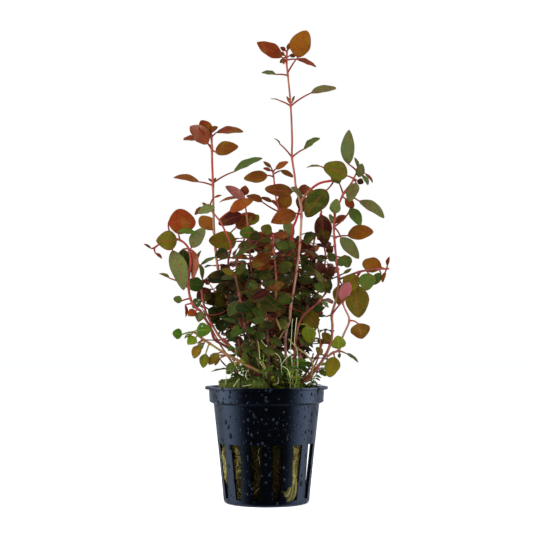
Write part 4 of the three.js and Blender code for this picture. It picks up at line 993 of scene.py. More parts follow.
            [23, 124, 8], [25.2, 132, 8],
        ],
        "leaves": [
            ["L", 25, 131.4, 25.5, 130.4, 26.7, 116.3, 8.4, -4, 10, "k"],
            ["s", 19, 92, 20, 91.4, 21, 86.6, 3.6, -3, 15, "d"],
            ["s", 25.2, 132, 24.8, 133, 22.4, 136, 3, 3, 20, "b"],
        ],
        "pairs": (0.3, 0.75, 4, 8),
    },
    {
        "name": "front",
        "radius": (0.65, 0.45),
        "tone": (0x3E3018, 0x4A2C1A),
        "path": [
            [1, 46, -18.5], [1, 62, -22], [0.5, 75, -25], [0, 84, -27], [-2, 92, -28.5], [-3, 98, -29],
        ],
        "leaves": [
            ["s", -3, 98, -2.2, 99, 4, 99.6, 5, -3, 25, "d"],
            ["s", -3, 98, -3.8, 98.6, -9.5, 97.4, 5, -3, 25, "d"],
            ["s", 0, 84, 1.2, 84.6, 8, 86.4, 5, -3, 25, "k"],
            ["s", 0, 84, -1, 84, -6.5, 87.4, 5, -3, 25, "d"],
            ["s", 0.6, 74, 1.8, 74, 7, 70.6, 4.4, -3, 20, "d"],
            ["s", 0.6, 74, -0.4, 74, -5, 77, 4, -3, 20, "d"],
            ["s", 0.8, 68, -1.6, 69, 4, 66.5, 3.4, -4, 25, "g"],
            ["s", 0.2, 80, 3.4, 80.4, -4.4, 77.6, 4.4, -4, 25, "d"],
            ["s", -1, 88, -4.6, 89.6, 4.6, 86.6, 5, -3, 22, "m"],
            ["s", -2.6, 95, 1.2, 96, -7, 92.2, 4.4, -3, 25, "k"],
            ["s", 1, 60, 2.6, 60.6, -1.4, 58.6, 2.2, -3, 30, "f"],
        ],
    },
    {
        "name": "back_low_left",
        "radius": (0.65, 0.45),
        "tone": (0xA08058, 0xA86A50),
        "path": [[-9, 46, 8], [-14, 60, 15], [-21, 71, 22], [-26, 80, 28]],
        "leaves": [],
        "pairs": (0.35, 1, 4, 8),
    },
    {
        "name": "back_left",
        "radius": (0.7, 0.45),
        "tone": (0xA07A58, 0xB05A50),
        "path": [
            [-5, 46, 11], [-8, 65, 18], [-12, 85, 26], [-14, 100, 31], [-13, 112, 34], [-10, 120, 35],
        ],
        "leaves": [],
        "pairs": (0.35, 1, 6, 9),
    },
    {
        "name": "back_middle",
        "radius": (0.7, 0.45),
        "tone": (0xA07A58, 0xB85A54),
        "path": [[1.5, 46, 13], [2, 65, 20], [3, 85, 29], [5, 100, 34], [4, 112, 37], [1, 122, 38]],
        "leaves": [],
        "pairs": (0.35, 1, 6, 9),
    },
    {
        "name": "back_right",
        "radius": (0.7, 0.45),
        "tone": (0xA07A58, 0xB05050),
        "path": [[8, 46, 14], [13, 65, 19], [20, 85, 26], [25, 100, 31], [27, 112, 33], [25, 121, 35]],
        "leaves": [],
        "pairs": (0.35, 1, 6, 9),
    },
    {
        "name": "back_low_right",
        "radius": (0.65, 0.45),
        "tone": (0xA08058, 0xA86A50),
        "path": [[14, 46, 9], [18, 58, 14], [24, 68, 20], [27, 78, 24]],
        "leaves": [],
        "pairs": (0.4, 1, 4, 8),
    },
]

# Leaf tints: upper side in two shades, underside, midrib.
TINTS = {
    "r": (0x74300C, 0x521C08, 0x6A2E1C, 0x8E3428),
    "b": (0x64320C, 0x3E1E0A, 0x6A3C24, 0x84382A),
    "k": (0x3A1610, 0x200C08, 0x5E2E26, 0x742C24),
    "a": (0x6E420C, 0x542C06, 0x7A4E24, 0x8E4426),
    "o": (0x665E10, 0x4C460C, 0x70642C, 0x84442A),
    "e": (0x52500E, 0x3A3C0C, 0x5C5A2C, 0x84442A),
    "g": (0x3E5620, 0x2C4416, 0x5E6C38, 0x74482E),
    "h": (0x525C32, 0x444F28, 0x5C6644, 0x8C4A3A),
    "f": (0x2F520C, 0x20400A, 0x566A2C, 0x6A7428),
    "d": (0x223C0E, 0x0E1E08, 0x3C4C28, 0x4E4418),
    "m": (0x2E3A0E, 0x242E0A, 0x3C4824, 0x6E3822),
    "y": (0x62680F, 0x4A560C, 0x70783A, 0x80782E),
    "p": (0x66341F, 0x4A261A, 0x824C48, 0x8A3C38),
}
RED_RIB = np.array(linear(0x742C22))
RED_RIB_HEIGHTS = (88 * MM, 112 * MM)
STEM_SHADE = np.array([0.62, 0.52, 0.46, 1])
STEM_SPACING = 1.2 * MM
STEM_SIDES = 10
# Between its knobs a stem is a little slimmer than its noted radius.
STEM_SLIMMING = 0.92
CURVE_STEPS = 24
UPRIGHT_SIDE = np.array([0.0, 1.0, 0.03])
random = np.random.default_rng(11)


def seen(points):
    """Points noted as seen from the front, moved back along the line of sight by their depth."""
    x, z, depth = (np.asarray(points, float) * MM).T
    scale = (EYE_DISTANCE + depth) / EYE_DISTANCE
    return np.stack([x * scale, depth, EYE_HEIGHT + (z - EYE_HEIGHT) * scale], axis=-1)


def from_front(points):
    """Where points are seen from the front, on the upright plane through the pot's axis."""
    scale = EYE_DISTANCE / (EYE_DISTANCE + points[..., 1])
    heights = EYE_HEIGHT + (points[..., 2] - EYE_HEIGHT) * scale
    return np.stack([points[..., 0] * scale, heights], axis=-1)


def stem_line(path, spacing):
    """Evenly spaced points on the centripetal Catmull-Rom curve through a stem's path: each stretch
    is the cubic whose slopes at its ends come from the square roots of the gaps between points."""
    points = seen(path)
    ends = np.vstack([2 * points[0] - points[1], points, 2 * points[-1] - points[-2]])
    gap = np.sqrt(np.linalg.norm(np.diff(ends, axis=0), axis=1))[:, None]
    before, here, behind = gap[:-2], gap[1:-1], gap[2:]
    a, b, c, d = ends[:-3], ends[1:-2], ends[2:-1], ends[3:]
    leave = ((b - a) / before - (c - a) / (before + here) + (c - b) / here) * here
    reach = ((c - b) / here - (d - b) / (here + behind) + (d - c) / behind) * here
    t = np.linspace(0, 1, CURVE_STEPS, endpoint=False)[None, :, None]
    b, c, leave, reach = (value[:, None, :] for value in (b, c, leave, reach))
    square = 3 * (c - b) - 2 * leave - reach
    cube = 2 * (b - c) + leave + reach
    curve = b + leave * t + square * t**2 + cube * t**3
    curve = np.vstack([curve.reshape(-1, 3), points[-1:]])
    run = np.concatenate([[0], np.cumsum(np.linalg.norm(np.diff(curve, axis=0), axis=1))])
    even = np.linspace(0, run[-1], max(3, round(run[-1] / spacing) + 1))
    return np.stack([np.interp(even, run, curve[:, k]) for k in range(3)], axis=-1)


def unit(vectors):
    """Vectors of length 1 in the same directions."""
    return vectors / np.linalg.norm(vectors, axis=-1, keepdims=True)


def tube(line, radius, points):
    """Rings of a round tube: centre + radius * (cos * side + sin * across), square to the line."""
    along = unit(np.gradient(line, axis=0))
    side = unit(UPRIGHT_SIDE - along * (along @ UPRIGHT_SIDE)[:, None])
    across = np.cross(along, side)
    turn = np.arange(points) * 2 * math.pi / points
    radius = np.broadcast_to(radius, len(line))[:, None, None]
    ring = np.cos(turn)[None, :, None] * side[:, None] + np.sin(turn)[None, :, None] * across[:, None]
    return line[:, None] + radius * ring


class Growth:
    """Collects skins, with what their shader reads from each point, into one mesh."""

    def __init__(self):
        self.points = []
        self.faces = []
        self.place = []
        self.colours = {"upper": [], "lower": [], "rib": []}
        self.count = 0

    def add(self, rings, place, upper, lower, rib):
        """Adds one closed skin, with a place and three colours for all of it or for each point."""
        sections, around = rings.shape[:2]
        self.points.append(rings.reshape(-1, 3))
        self.faces += skin_faces(sections, around, self.count)
        self.place.append(np.broadcast_to(place, (sections, around, 3)).reshape(-1, 3))
        for name, colour in (("upper", upper), ("lower", lower), ("rib", rib)):
            whole = np.broadcast_to(colour, (sections, around, 4)).reshape(-1, 4)
            self.colours[name].append(whole)
        self.count += sections * around

    def strand(self, line, radius, sides, colour, rib=1.0, along=0.0):
        """Adds a plain round strand. Its rib colour is its colour times rib."""
        self.add(tube(line, radius, sides), np.array([0, along, 0]), colour, colour, colour * rib)

    def piece(self, name, finish, slot, *nodes):
        """The collected skins as one piece with that material, in the place of those nodes."""
        made = mesh_object(name, np.clip(np.concatenate(self.points), *sizes["cad"]), self.faces)
        attribute = made.data.attributes.new("place", "FLOAT_VECTOR", "POINT")
        attribute.data.foreach_set("vector", np.concatenate(self.place).astype(np.float32).ravel())
        for colour, values in self.colours.items():
            attribute = made.data.attributes.new(colour, "FLOAT_COLOR", "POINT")
            attribute.data.foreach_set("color", np.concatenate(values).astype(np.float32).ravel())
        made.data.materials.append(finish)
        if nodes:
            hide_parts(*nodes)
        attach(made, "root")


# How far along the blade its sections lie, and how far across each of a section's points lies.
LARGE_SHARES = np.array([0.02, 0.06, 0.11, 0.18, 0.27, 0.37, 0.48, 0.59, 0.7, 0.8, 0.88, 0.94, 0.98, 1])
SMALL_SHARES = np.array([0.04, 0.12, 0.25, 0.42, 0.6, 0.77, 0.9, 1])
TINY_SHARES = np.array([0.1, 0.4, 0.75, 1])
WIDE = np.array([-1, -0.9, -0.5, 0, 0.5, 0.9, 1, 0.9, 0.5, 0, -0.5, -0.9])
NARROW = np.array([-1, -0.55, 0, 0.55, 1, 0.55, 0, -0.55])
FLAT = np.array([-1, 0, 1, 0])
STALK_RADIUS = 0.35 * MM
BLADE_FOLD = 0.16
BLADE_BEND = 0.07
BLADE_THICKNESS = 0.13 * MM
LEAST_EDGE = 0.05 * MM
LEAST_STALK = 0.3
# What a leaf is built from: the blade's sections, each section's points and the stalk's sections.
DETAIL = {
    "large": (LARGE_SHARES, WIDE, 7),
    "small": (SMALL_SHARES, NARROW, 4),
    "tiny": (TINY_SHARES, FLAT, 2),
}
FULL_TURN = 6.28


def leaf_rings(leaf, detail):
    """Rings of one leaf. The stalk is a round tube on the parabola foot, via, base. The blade's half
    width is w * sin(pi * s ** 0.84) ** p along its length s. The power p is 0.75 for a broad leaf and
    0.95 for a narrow one, and less towards the tip of some, which blunts it. The blade's middle bends
    up by 4 b s (1 - s) and curls and sways a little. Its edges are folded up and rippled, in
    proportion to powers of their distance from the midrib."""
    foot, via, base, tip = (np.asarray(leaf[key]) for key in ("foot", "via", "base", "tip"))
    shares, across, stalk_sections = DETAIL[detail]
    count = len(across)
    angle = np.arange(count) * 2 * math.pi / count
    sign = np.sign(np.sin(angle).round(6))
    blade = tip - base
    length = np.linalg.norm(blade)
    axis = blade / length
    up = unit(leaf["normal"] - axis * (axis @ leaf["normal"]))
    side = np.cross(axis, up)
    t = np.linspace(0, 1, stalk_sections)[:, None]
    stalk = (1 - t) ** 2 * foot + 2 * t * (1 - t) * via + t**2 * base
    slope = unit(2 * (1 - t) * (via - foot) + 2 * t * (base - via) + 1e-9 * axis)
    lift = up - slope * (slope @ up)[:, None]
    weak = np.linalg.norm(lift, axis=1) < 0.2
    lift[weak] = (axis - slope * (slope @ axis)[:, None])[weak]
    lift = unit(lift)
    beside = np.cross(slope, lift)
    thick = leaf.get("stalk", STALK_RADIUS) * (1.25 - 0.35 * t)
    round_part = thick * -np.cos(angle)
    stalk_rings = (
        stalk[:, None]
        + round_part[:, :, None] * beside[:, None]
        + (thick * np.sin(angle))[:, :, None] * lift[:, None]
    )
    s = shares[:, None]
    sway, ripple, phase, curl = leaf["shape"]
    sharp = 0.75 + 0.2 * smooth(0.42 - leaf["width"] / length, 0, 0.2)
    sharp = sharp - 0.3 * phase / FULL_TURN * smooth(s, 0.55, 1)
    half = leaf["width"] / 2 * np.sin(math.pi * np.clip(s, 0, 0.9999) ** 0.84) ** sharp
    half = np.maximum(half, np.where(s < 0.5, thick[-1], LEAST_EDGE))
    bend = BLADE_BEND * 4 * s * (1 - s) + curl * s * (1 - s) * (s - 0.5)
    middle = base + s * blade + (length * bend) * up + sway * length * s * (1 - s) * side
    wave = ripple * np.sin(2 * math.pi * 2.3 * s + phase + 1.7 * (across > 0)) * across**2
    fold = half * (BLADE_FOLD * np.abs(across) ** 1.3 + wave)
    body = BLADE_THICKNESS * (1 + 0.9 * (across == 0) * (1 - s)) * np.where(across == 0, 1, 0.8)
    rise = fold + sign * np.minimum(body, half * 0.6)
    blade_rings = middle[:, None] + (half * across)[:, :, None] * side + rise[:, :, None] * up
    rings = np.concatenate([stalk_rings, blade_rings])
    place = np.zeros(rings.shape)
    place[..., 0] = across
    place[len(stalk) :, :, 1] = s
    place[: len(stalk), :, 1] = t - 1
    place[..., 2] = 0.5 - 0.5 * sign
    return rings, place


def leaf_colours(tint, height, spread=0.14):
    """Upper, lower and midrib colours of one leaf, each a little off its tint's. Ribs and stalks turn
    red with height."""
    upper, deep, lower, rib = (np.array(linear(code)) for code in TINTS[tint])
    rib = rib + (RED_RIB - rib) * 0.85 * smooth(height, *RED_RIB_HEIGHTS)
    share = random.uniform(0, 1)
    shift = 1 + random.uniform(-spread, spread, 4) + random.uniform(-spread, spread)
    shift[3] = 1
    return (upper + (deep - upper) * share) * shift, lower * shift, rib * (1 + (shift - 1) * 0.5)


def leaf_shape():
    """Sway, ripple, phase and curl of one leaf's blade."""
    ranges = ((-0.16, 0.16), (0.02, 0.1), (0, FULL_TURN), (-0.5, 0.5))
    return [random.uniform(low, high) for low, high in ranges]


def face_normal(base, tip, face):
    """Direction of the upper side of a leaf turned by face degrees from the front upwards."""
    axis = unit(tip - base)
    front = unit(np.array([0, -EYE_DISTANCE, EYE_HEIGHT]) - base)
    front = unit(front - axis * (axis @ front))
    up = np.cross(front, axis)
    if up[2] < 0:
        up = -up
    return front * math.cos(math.radians(face)) + up * math.sin(math.radians(face))


def row_leaf(line, row):
    """The leaf that one row of a stem's list describes."""
    at_x, at_z, base_x, base_z, tip_x, tip_z, width, depth, face, tint, *via = row[1:]
    off = np.hypot(*(from_front(line) - [at_x * MM, at_z * MM]).T)
    foot = line[off.argmin()]
    back = foot[1] / MM
    stalk = math.hypot(base_x - at_x, base_z - at_z)
    share = max(stalk / (stalk + math.hypot(tip_x - base_x, tip_z - base_z)), LEAST_STALK)
    base, tip = seen([[base_x, base_z, back + depth * share], [tip_x, tip_z, back + depth]])
    if via:
        middle = seen([[*via, back + depth * share / 2]])[0]
    else:
        middle = (foot + base) / 2 + np.array([0, 0, 0.1 * stalk * MM])
    leaf = {"foot": foot, "via": middle, "base": base, "tip": tip, "width": width * MM, "tint": tint}
    leaf["normal"] = face_normal(base, tip, face)
    leaf["shape"] = leaf_shape()
    leaf["at"] = off.argmin() / (len(line) - 1)
    return leaf


def pair_leaves(line, pairs):
    """Opposite pairs of leaves along a stem, each turned about a quarter from the pair below."""
    start, end, count, length = pairs
    leaves = []
    for i in range(count):
        share = start + (end - start) * i / max(count - 1, 1)
        foot = line[round(share * (len(line) - 1))]
        size = length * MM * (1 + 0.18 * math.sin(2.4 * i + length)) * (0.7 if share > 0.95 else 1)
        for turn in (0, math.pi):
            azimuth = turn + i * 1.57 + 0.6 + 0.3 * math.sin(5 * i + foot[0] / MM)
            out = np.array([math.cos(azimuth), math.sin(azimuth), 0.25 - 0.3 * share])
            base = foot + 0.3 * size * out
            tip = foot + 1.3 * size * out - np.array([0, 0, 0.2 * size])
            leaves.append(
                {
                    "foot": foot,
                    "via": (foot + base) / 2 + np.array([0, 0, 0.06 * size]),
                    "base": base,
                    "tip": tip,
                    "normal": np.array([-0.35 * math.cos(azimuth), -0.35 * math.sin(azimuth), 1]),
                    "width": 0.62 * size,
                    "tint": tint_at(tip[2] / MM),
                    "shape": leaf_shape(),
                    "at": share,
                }
            )
    return leaves


# Up to a height in millimetres: the tints that a leaf may have, and how likely each of them is.
TINTS_UP_TO = [
    (68, "gfdo", (0.2, 0.35, 0.35, 0.1)),
    (96, "dgbkm", (0.55, 0.12, 0.13, 0.12, 0.08)),
    (112, "dmbkar", (0.34, 0.14, 0.22, 0.16, 0.06, 0.08)),
    (math.inf, "dmbkar", (0.14, 0.14, 0.24, 0.1, 0.18, 0.2)),
]


def tint_at(height):
    """A random tint that suits a height: fresh green low down, dark green and brown, then red."""
    tints, shares = next(row[1:] for row in TINTS_UP_TO if height < row[0])
    return random.choice(list(tints), p=shares)


blade_finish, blade_shader, on_blade = material(
    "leaf_blade", 0.42, Specular_IOR_Level=0.05, Coat_Roughness=0.08
)
where = on_blade.add("TexCoord", output="Object")
place = on_blade.stored("place", "Vector")
upper = on_blade.stored("upper")
lower = on_blade.stored("lower")
rib = on_blade.stored("rib")
across = abs(place.part(0))
along = place.part(1)
beneath = place.part(2).step(0.45, 0.55)
midrib = 1 - across.step(0.03, 0.12)
stalk_part = 1 - along.step(0.0, 0.06)
vein_phase = on_blade.math("FRACT", along * 8 - across * 1.7)
vein = 1 - abs(vein_phase - 0.5).step(0.03, 0.13)
vein = vein * (1 - across.step(0.75, 1.0)) * across.step(0.03, 0.15)
blotches = on_blade.noise(where, 210.0, 3.0)
patches = on_blade.noise(where, 120.0)
cells = on_blade.noise(where, 2600.0)
drop_gap = on_blade.add("TexVoronoi", {"Vector": where, "Scale": 560.0, "Randomness": 1.0})
drop_size = on_blade.noise(where, 160.0, 1.0)
drop_rise = 0.75 * drop_size - drop_gap
drops = drop_rise.step(0.1, 0.2)
# Leaves are beaded with water below 100 mm and dry above 125 mm.
wetter = 1 - where.part(2).step(0.1, 0.125)
# Painted highlights: pale dots mixed into the base colour where the top of a drop would glint.
painted_glints = wetter * drop_rise.step(0.3, 0.36)
lit_side = (blotches.step(0.45, 0.7) * 0.22).mix(upper, linear(0x686A20))
lit_side = (patches.step(0.45, 0.72) * 0.35).mix(lit_side, linear(0x3A1A0C))
lit_side = (across.step(0.84, 1.0) * 0.6).mix(lit_side, linear(0x6A2416))
lit_side = (vein * 0.26).mix(lit_side, rib)
pale_side = (patches.step(0.42, 0.68) * 0.3).mix(lower, linear(0x9C7A6A))
pale_side = (vein * 0.42).mix(pale_side, rib)
pale_side = (blotches.step(0.4, 0.7) * 0.32).mix(pale_side, upper)
surface = beneath.mix(lit_side, pale_side)
surface = (midrib * 0.45).mix(surface, rib)
surface = (stalk_part * 0.95).mix(surface, rib)
surface = (painted_glints * 0.3).mix(surface, linear(0xD4DCD4))
height = midrib * -0.5 - vein * 0.35 + blotches * 0.5 + cells * 0.15 + drops * 1.2
feed(
    blade_shader,
    Base_Color=surface,
    Roughness=0.36 + 0.22 * blotches + 0.1 * beneath,
    Coat_Weight=drops * wetter * 0.6,
    Normal=on_blade.add("Bump", {"Height": height, "Distance": 0.25 * MM, "Strength": 0.8}),
)

stem_finish, stem_shader, on_stem = material("stem_skin", 0.45, Specular_IOR_Level=0.28)
where = on_stem.add("TexCoord", output="Object")
place = on_stem.stored("place", "Vector")
upper = on_stem.stored("upper")
rib = on_stem.stored("rib")
drawn = on_stem.add("Mapping", {"Vector": where, "Scale": (1, 1, 0.12)})
lines = on_stem.noise(drawn, 1500.0, 3.0)
blush = on_stem.noise(where, 90.0)
skin_tone = (lines.step(0.35, 0.7) * 0.5).mix(upper, rib)
skin_tone = (blush.step(0.5, 0.72) * 0.35).mix(skin_tone, linear(0x9A8A50))
skin_tone = (place.part(1) * 0.7).mix(skin_tone, linear(0x8E3C3A))
feed(
    stem_shader,
    Base_Color=skin_tone,
    Roughness=0.34 + 0.25 * lines,
    Normal=on_stem.add("Bump", {"Height": lines, "Distance": 0.12 * MM, "Strength": 0.5}),
)

# The bush's outline from the front: height, left edge and right edge. Leaves inside it are darker, a
# painted shade.
BUSH_EDGE = np.array([
    [56, -9, 18], [60, -10, 20], [66, -13, 21], [72, -17, 22], [78, -24, 24],
    [84, -29, 26], [90, -33, 28], [96, -35, 30], [102, -31, 32], [105, -25, 33],
    [108, -17, 33], [114, -14, 31], [118, -13, 30], [122, -9, 27],
]) * MM
BUSH_DEPTH = (-32.4 * MM, 45 * MM)
INNER_SHADE = 0.62
WIDE_LEAF = 4.5 * MM


def in_bush(point, margin=0.0):
    """Whether a point lies within the bush's depth and, by a margin, inside its outline as seen from
    the front."""
    x, z = from_front(point)
    low = np.interp(z, BUSH_EDGE[:, 0], BUSH_EDGE[:, 1])
    high = np.interp(z, BUSH_EDGE[:, 0], BUSH_EDGE[:, 2])
    inside = BUSH_EDGE[0, 0] < z < BUSH_EDGE[-1, 0] and low + margin < x < high - margin
    return inside and BUSH_DEPTH[0] < point[1] < BUSH_DEPTH[1]


def dimmed(colours, share):
    """Colours at a share of their brightness, with their alpha kept."""
    return [colour * [share, share, share, 1] for colour in colours]


SLOT_OF = {"r": "leaf_red", "p": "leaf_pink"} | dict.fromkeys("bk", "leaf_brown")
SLOT_OF |= dict.fromkeys("oae", "leaf_olive") | dict.fromkeys("gfdmhy", "leaf_green")
lines_of = {}
placed_leaves = []
for stem in STEMS:
    name = stem["name"]
    line = stem_line(stem["path"], STEM_SPACING)
    lines_of[name] = line
    rows = [(row[0], row_leaf(line, row)) for row in stem["leaves"]]
    placed_leaves += [leaf for _, leaf in rows]
    if "pairs" in stem:
        rows += [("s", leaf) for leaf in pair_leaves(line, stem["pairs"])]
    share = np.linspace(0, 1, len(line))
    foot_radius, tip_radius = stem["radius"]
    radius = (foot_radius + (tip_radius - foot_radius) * share) * STEM_SLIMMING * MM
    run = share * STEM_SPACING * (len(line) - 1)
    knobs = np.zeros(len(line))
    for _, leaf in rows:
        knobs = np.maximum(knobs, np.exp(-(((run - leaf["at"] * run[-1]) / (1.0 * MM)) ** 2)))
    rings = tube(line, radius * (1 + 0.3 * knobs), STEM_SIDES)
    foot_tone, tip_tone = (np.array(linear(code)) * STEM_SHADE for code in stem["tone"])
    tone = foot_tone + (tip_tone - foot_tone) * smooth(share, *stem.get("blush", (0.45, 0.9)))[:, None]
    bark = Growth()
    stem_place = np.zeros((len(line), STEM_SIDES, 3))
    stem_place[..., 1] = knobs[:, None]
    tone = tone[:, None]
    bark.add(rings, stem_place, tone, tone * 0.8, tone * [0.72, 0.5, 0.45, 1])
    bark.piece(f"stem_{name}_skin", stem_finish, "stem", f"stem_{name}")
    small = Growth()
    large_count = 0
    # The small leaves are one piece. The slot that most of them would have is picked, the last by name
    # of slots that tie, and passed on, but the piece does not use it.
    tints = []
    for size, leaf in rows:
        detail = "large" if size == "L" or leaf["width"] > WIDE_LEAF else "small"
        rings, place_values = leaf_rings(leaf, detail)
        # Painted shade on listed leaves that lie inside the bush.
        shade = INNER_SHADE if in_bush(leaf["base"]) and in_bush(leaf["tip"]) else 1.0
        colours = dimmed(leaf_colours(leaf["tint"], leaf["base"][2]), shade)
        if size == "L":
            large_count += 1
            single = Growth()
            single.add(rings, place_values, *colours)
            node = f"leaf_{name}_{large_count}"
            single.piece(f"{node}_blade", blade_finish, SLOT_OF[leaf["tint"]], node)
        else:
            small.add(rings, place_values, *colours)
            tints.append(SLOT_OF[leaf["tint"]])
    if tints:
        slots = sorted(set(tints), reverse=True)
        small.piece(f"leaves_{name}", blade_finish, max(slots, key=tints.count), f"stem_{name}")

# Fibres: loose strands of the wool that run over its side and stick out of the slots, a fuzzy tab that
# curls out of the slot at the front right, and short moss on the wool's top.
# Across the tab from right to left: where a strand starts in the slot, bends and ends, as x and z.
TAB_FOOT = np.array([[13.2, 11], [11.6, 10.5], [9.8, 9.5]]) * MM
TAB_BEND = np.array([[13.2, 5], [11.3, 4.4], [9.6, 5.6]]) * MM
TAB_TIP = np.array([[11.7, 3.3], [9.3, 2.7], [7.3, 7.0]]) * MM
PALE_WOOL = np.array(linear(0xA29A60))
DARK_WOOL = np.array(linear(0x4A3C14))
MOSS = (np.array(linear(0x222E0C)), np.array(linear(0x6C7A36)))
SIDE_FIBRES = 900
SIDE_FIBRE_RADIUS = 0.07 * MM
SIDE_FIBRE_HEIGHTS = (4, 34)
SIDE_FIBRE_SWING = 0.22
TAB_FIBRES = 420
TAB_FIBRE_RADIUS = 0.06 * MM
MOSS_SHOOTS = 2600
MOSS_HEIGHTS = (0.5, 1.3)
MOSS_REACH = 22 * MM
MOSS_RADII = (0.16 * MM, 0.05 * MM)
# Moss and seedlings are coloured like the middle of a leaf's stalk, plain and with no veins.
LIKE_A_STALK = -0.5
fibre_stuff, fibre_shader, on_fibre = material("spun_fibre", 0.8, Specular_IOR_Level=0.1)
feed(fibre_shader, Base_Color=on_fibre.stored("upper"))
fibres = Growth()
for _ in range(SIDE_FIBRES):
    turn = random.uniform(0, 2 * math.pi)
    start = random.uniform(*SIDE_FIBRE_HEIGHTS) * MM
    rise = random.uniform(-5, 5) * MM
    swing = random.uniform(-SIDE_FIBRE_SWING, SIDE_FIBRE_SWING)
    t = np.linspace(0, 1, 9)
    bow = random.uniform(-0.06, 0.06)
    angle = turn + swing * t + bow * np.sin(math.pi * t)
    z = np.clip(start + rise * t, 3 * MM, 40 * MM)
    radius = wool_radius(angle, z) + (0.1 + random.uniform(0, 0.5) * np.sin(math.pi * t)) * MM
    line = np.stack([radius * np.cos(angle), radius * np.sin(angle), z], axis=-1)
    # Painted shade: most strands at the front middle are made far darker than the rest.
    front = abs(line[4, 0]) < 10 * MM and line[4, 1] < 0
    if front:
        shade = random.choice([-0.12, 0.02, 0.5], p=[0.5, 0.42, 0.08])
    else:
        shade = random.uniform(0.3, 1)
    tone = DARK_WOOL + (PALE_WOOL - DARK_WOOL) * shade
    fibres.strand(line, SIDE_FIBRE_RADIUS, 4, tone)
for _ in range(TAB_FIBRES):
    across = random.uniform(0, 2)
    low = int(across)
    share = across % 1
    foot, bend, tip = [
        ends[low] * (1 - share) + ends[min(low + 1, 2)] * share + random.normal(0, 0.3, 2) * MM
        for ends in (TAB_FOOT, TAB_BEND, TAB_TIP)
    ]
    t = np.linspace(0, random.uniform(0.55, 1.05), 9)[:, None]
    x, z = (foot * (1 - t) ** 2 + 2 * bend * t * (1 - t) + tip * t**2).T
    lift = random.uniform(0.3, 1)
    proud = (-0.9 + 2.6 * lift * np.sin(math.pi * t[:, 0] * 0.75)) * MM
    radius = wall_outside(z) + proud
    line = np.stack([x, -np.sqrt(radius**2 - x**2), z], axis=-1)
    # Painted shade: a strand that stands out less, further back in the slot, is darker.
    tone = PALE_WOOL * (0.1 + 0.8 * lift * random.uniform(0.4, 1) * (0.6 + 0.4 * np.sin(9 * across)))
    fibres.strand(line, TAB_FIBRE_RADIUS, 4, tone)
moss = Growth()
for _ in range(MOSS_SHOOTS):
    turn = random.uniform(0, 2 * math.pi)
    radius = MOSS_REACH * math.sqrt(random.uniform(0, 1))
    foot = np.array([radius * math.cos(turn), radius * math.sin(turn), 0])
    foot[2] = wool_top(foot[0], foot[1]) - 0.3 * MM
    tall = random.uniform(*MOSS_HEIGHTS) * MM
    lean = random.uniform(-0.7, 0.7, 2)
    t = np.linspace(0, 1, 4)[:, None]
    line = foot + tall * np.concatenate([lean[0] * t**2, lean[1] * t**2, t], axis=1)
    patch = 0.5 + 0.6 * lumps(foot[None], 2.6 * MM, 7)[0]
    tone = MOSS[0] + (MOSS[1] - MOSS[0]) * random.uniform(0, 1) * patch
    moss.strand(line, np.linspace(*MOSS_RADII, 4), 4, tone, along=LIKE_A_STALK)
fibres.piece("wool_fibres", fibre_stuff, "mineral_wool")
moss.piece("moss", blade_finish, "leaf_green")

# Bush: the side shoots and small leaves that fill the plant's lower half on every stem, too many and
# too small to be solids. They stay inside the outline that the bush has from the front.
STEMS_IN_VIEW = (
    "tallest", "left_curved", "left_arch", "low_left", "right_tall", "right_low", "inner_right"
)
SHOWN_STEM_WIDTH = 0.4 * MM
SHOWN_LEAF_WIDTH = 4.2 * MM
BUSH_STALK_RADIUS = 0.24 * MM
# Ranges in millimetres, and how far a leaf rises as a share of how far it stands out.
BUSH_STALK_LENGTHS = (1.0, 2.6)
BUSH_LEAF_LENGTHS = (5.5, 9.5)
BUSH_LEAF_RISES = (0.0, 0.5)
TWIG_LENGTHS = (7, 15)
# Low in the bush: the share of leaves that are missing, and how much smaller the others are.
LOW_GAPS = 0.55
LOW_SHRINKING = 0.45
TWIG_SHARE = 0.75
TWIG_POINTS = 8
TWIG_RADII = (0.38 * MM, 0.25 * MM)
# On a side shoot: at which of its points a pair of leaves stands, and the leaves' relative size.
TWIG_PAIRS = ((3, 0.8), (5, 0.75), (7, 0.6))
TWIG_END = 0.7


def hides(leaf):
    """Whether a bush leaf stands in front of a stem or leaf that is seen in the picture."""
    middle = (leaf["base"] + leaf["tip"]) / 2
    gap = np.linalg.norm(from_front(middle) - shown_at, axis=1)
    near = gap < shown_size + np.linalg.norm(leaf["tip"] - leaf["base"]) * 0.36
    return bool(np.any(near & (shown_depth > middle[1] - 1 * MM)))


def bush_leaf(foot, azimuth, size, rise, stalk):
    """A leaf that stands out from a shoot in a direction, with its upper side turned up and away from
    the middle of the plant."""
    out = np.array([math.cos(azimuth), math.sin(azimuth), rise])
    base = foot + stalk * out
    tip = base + size * unit(out - np.array([0, 0, random.uniform(0.1, 1.1)]))
    away = unit(foot * [1, 1, 0] + [0, -4 * MM, 0])
    lean = random.uniform(-0.75, 0.75, 3)
    return {
        "foot": foot,
        "via": (foot + base) / 2 + np.array([0, 0, 0.06 * size]),
        "base": base,
        "tip": tip,
        "normal": unit(away + np.array([0, 0, 0.45]) + lean),
        "width": size * random.uniform(0.55, 0.82),
        "tint": tint_at(tip[2] / MM),
        "shape": leaf_shape(),
        "stalk": BUSH_STALK_RADIUS,
    }


shown = [(lines_of[name][::2], SHOWN_STEM_WIDTH) for name in lines_of if name in STEMS_IN_VIEW]
large_enough = [leaf for leaf in placed_leaves if leaf["width"] > SHOWN_LEAF_WIDTH]
shown += [((leaf["base"] + leaf["tip"])[None] / 2, leaf["width"] * 0.35) for leaf in large_enough]
shown_at = from_front(np.concatenate([points for points, _ in shown]))
shown_depth = np.concatenate([points[:, 1] for points, _ in shown])
shown_size = np.concatenate([np.full(len(points), size) for points, size in shown])

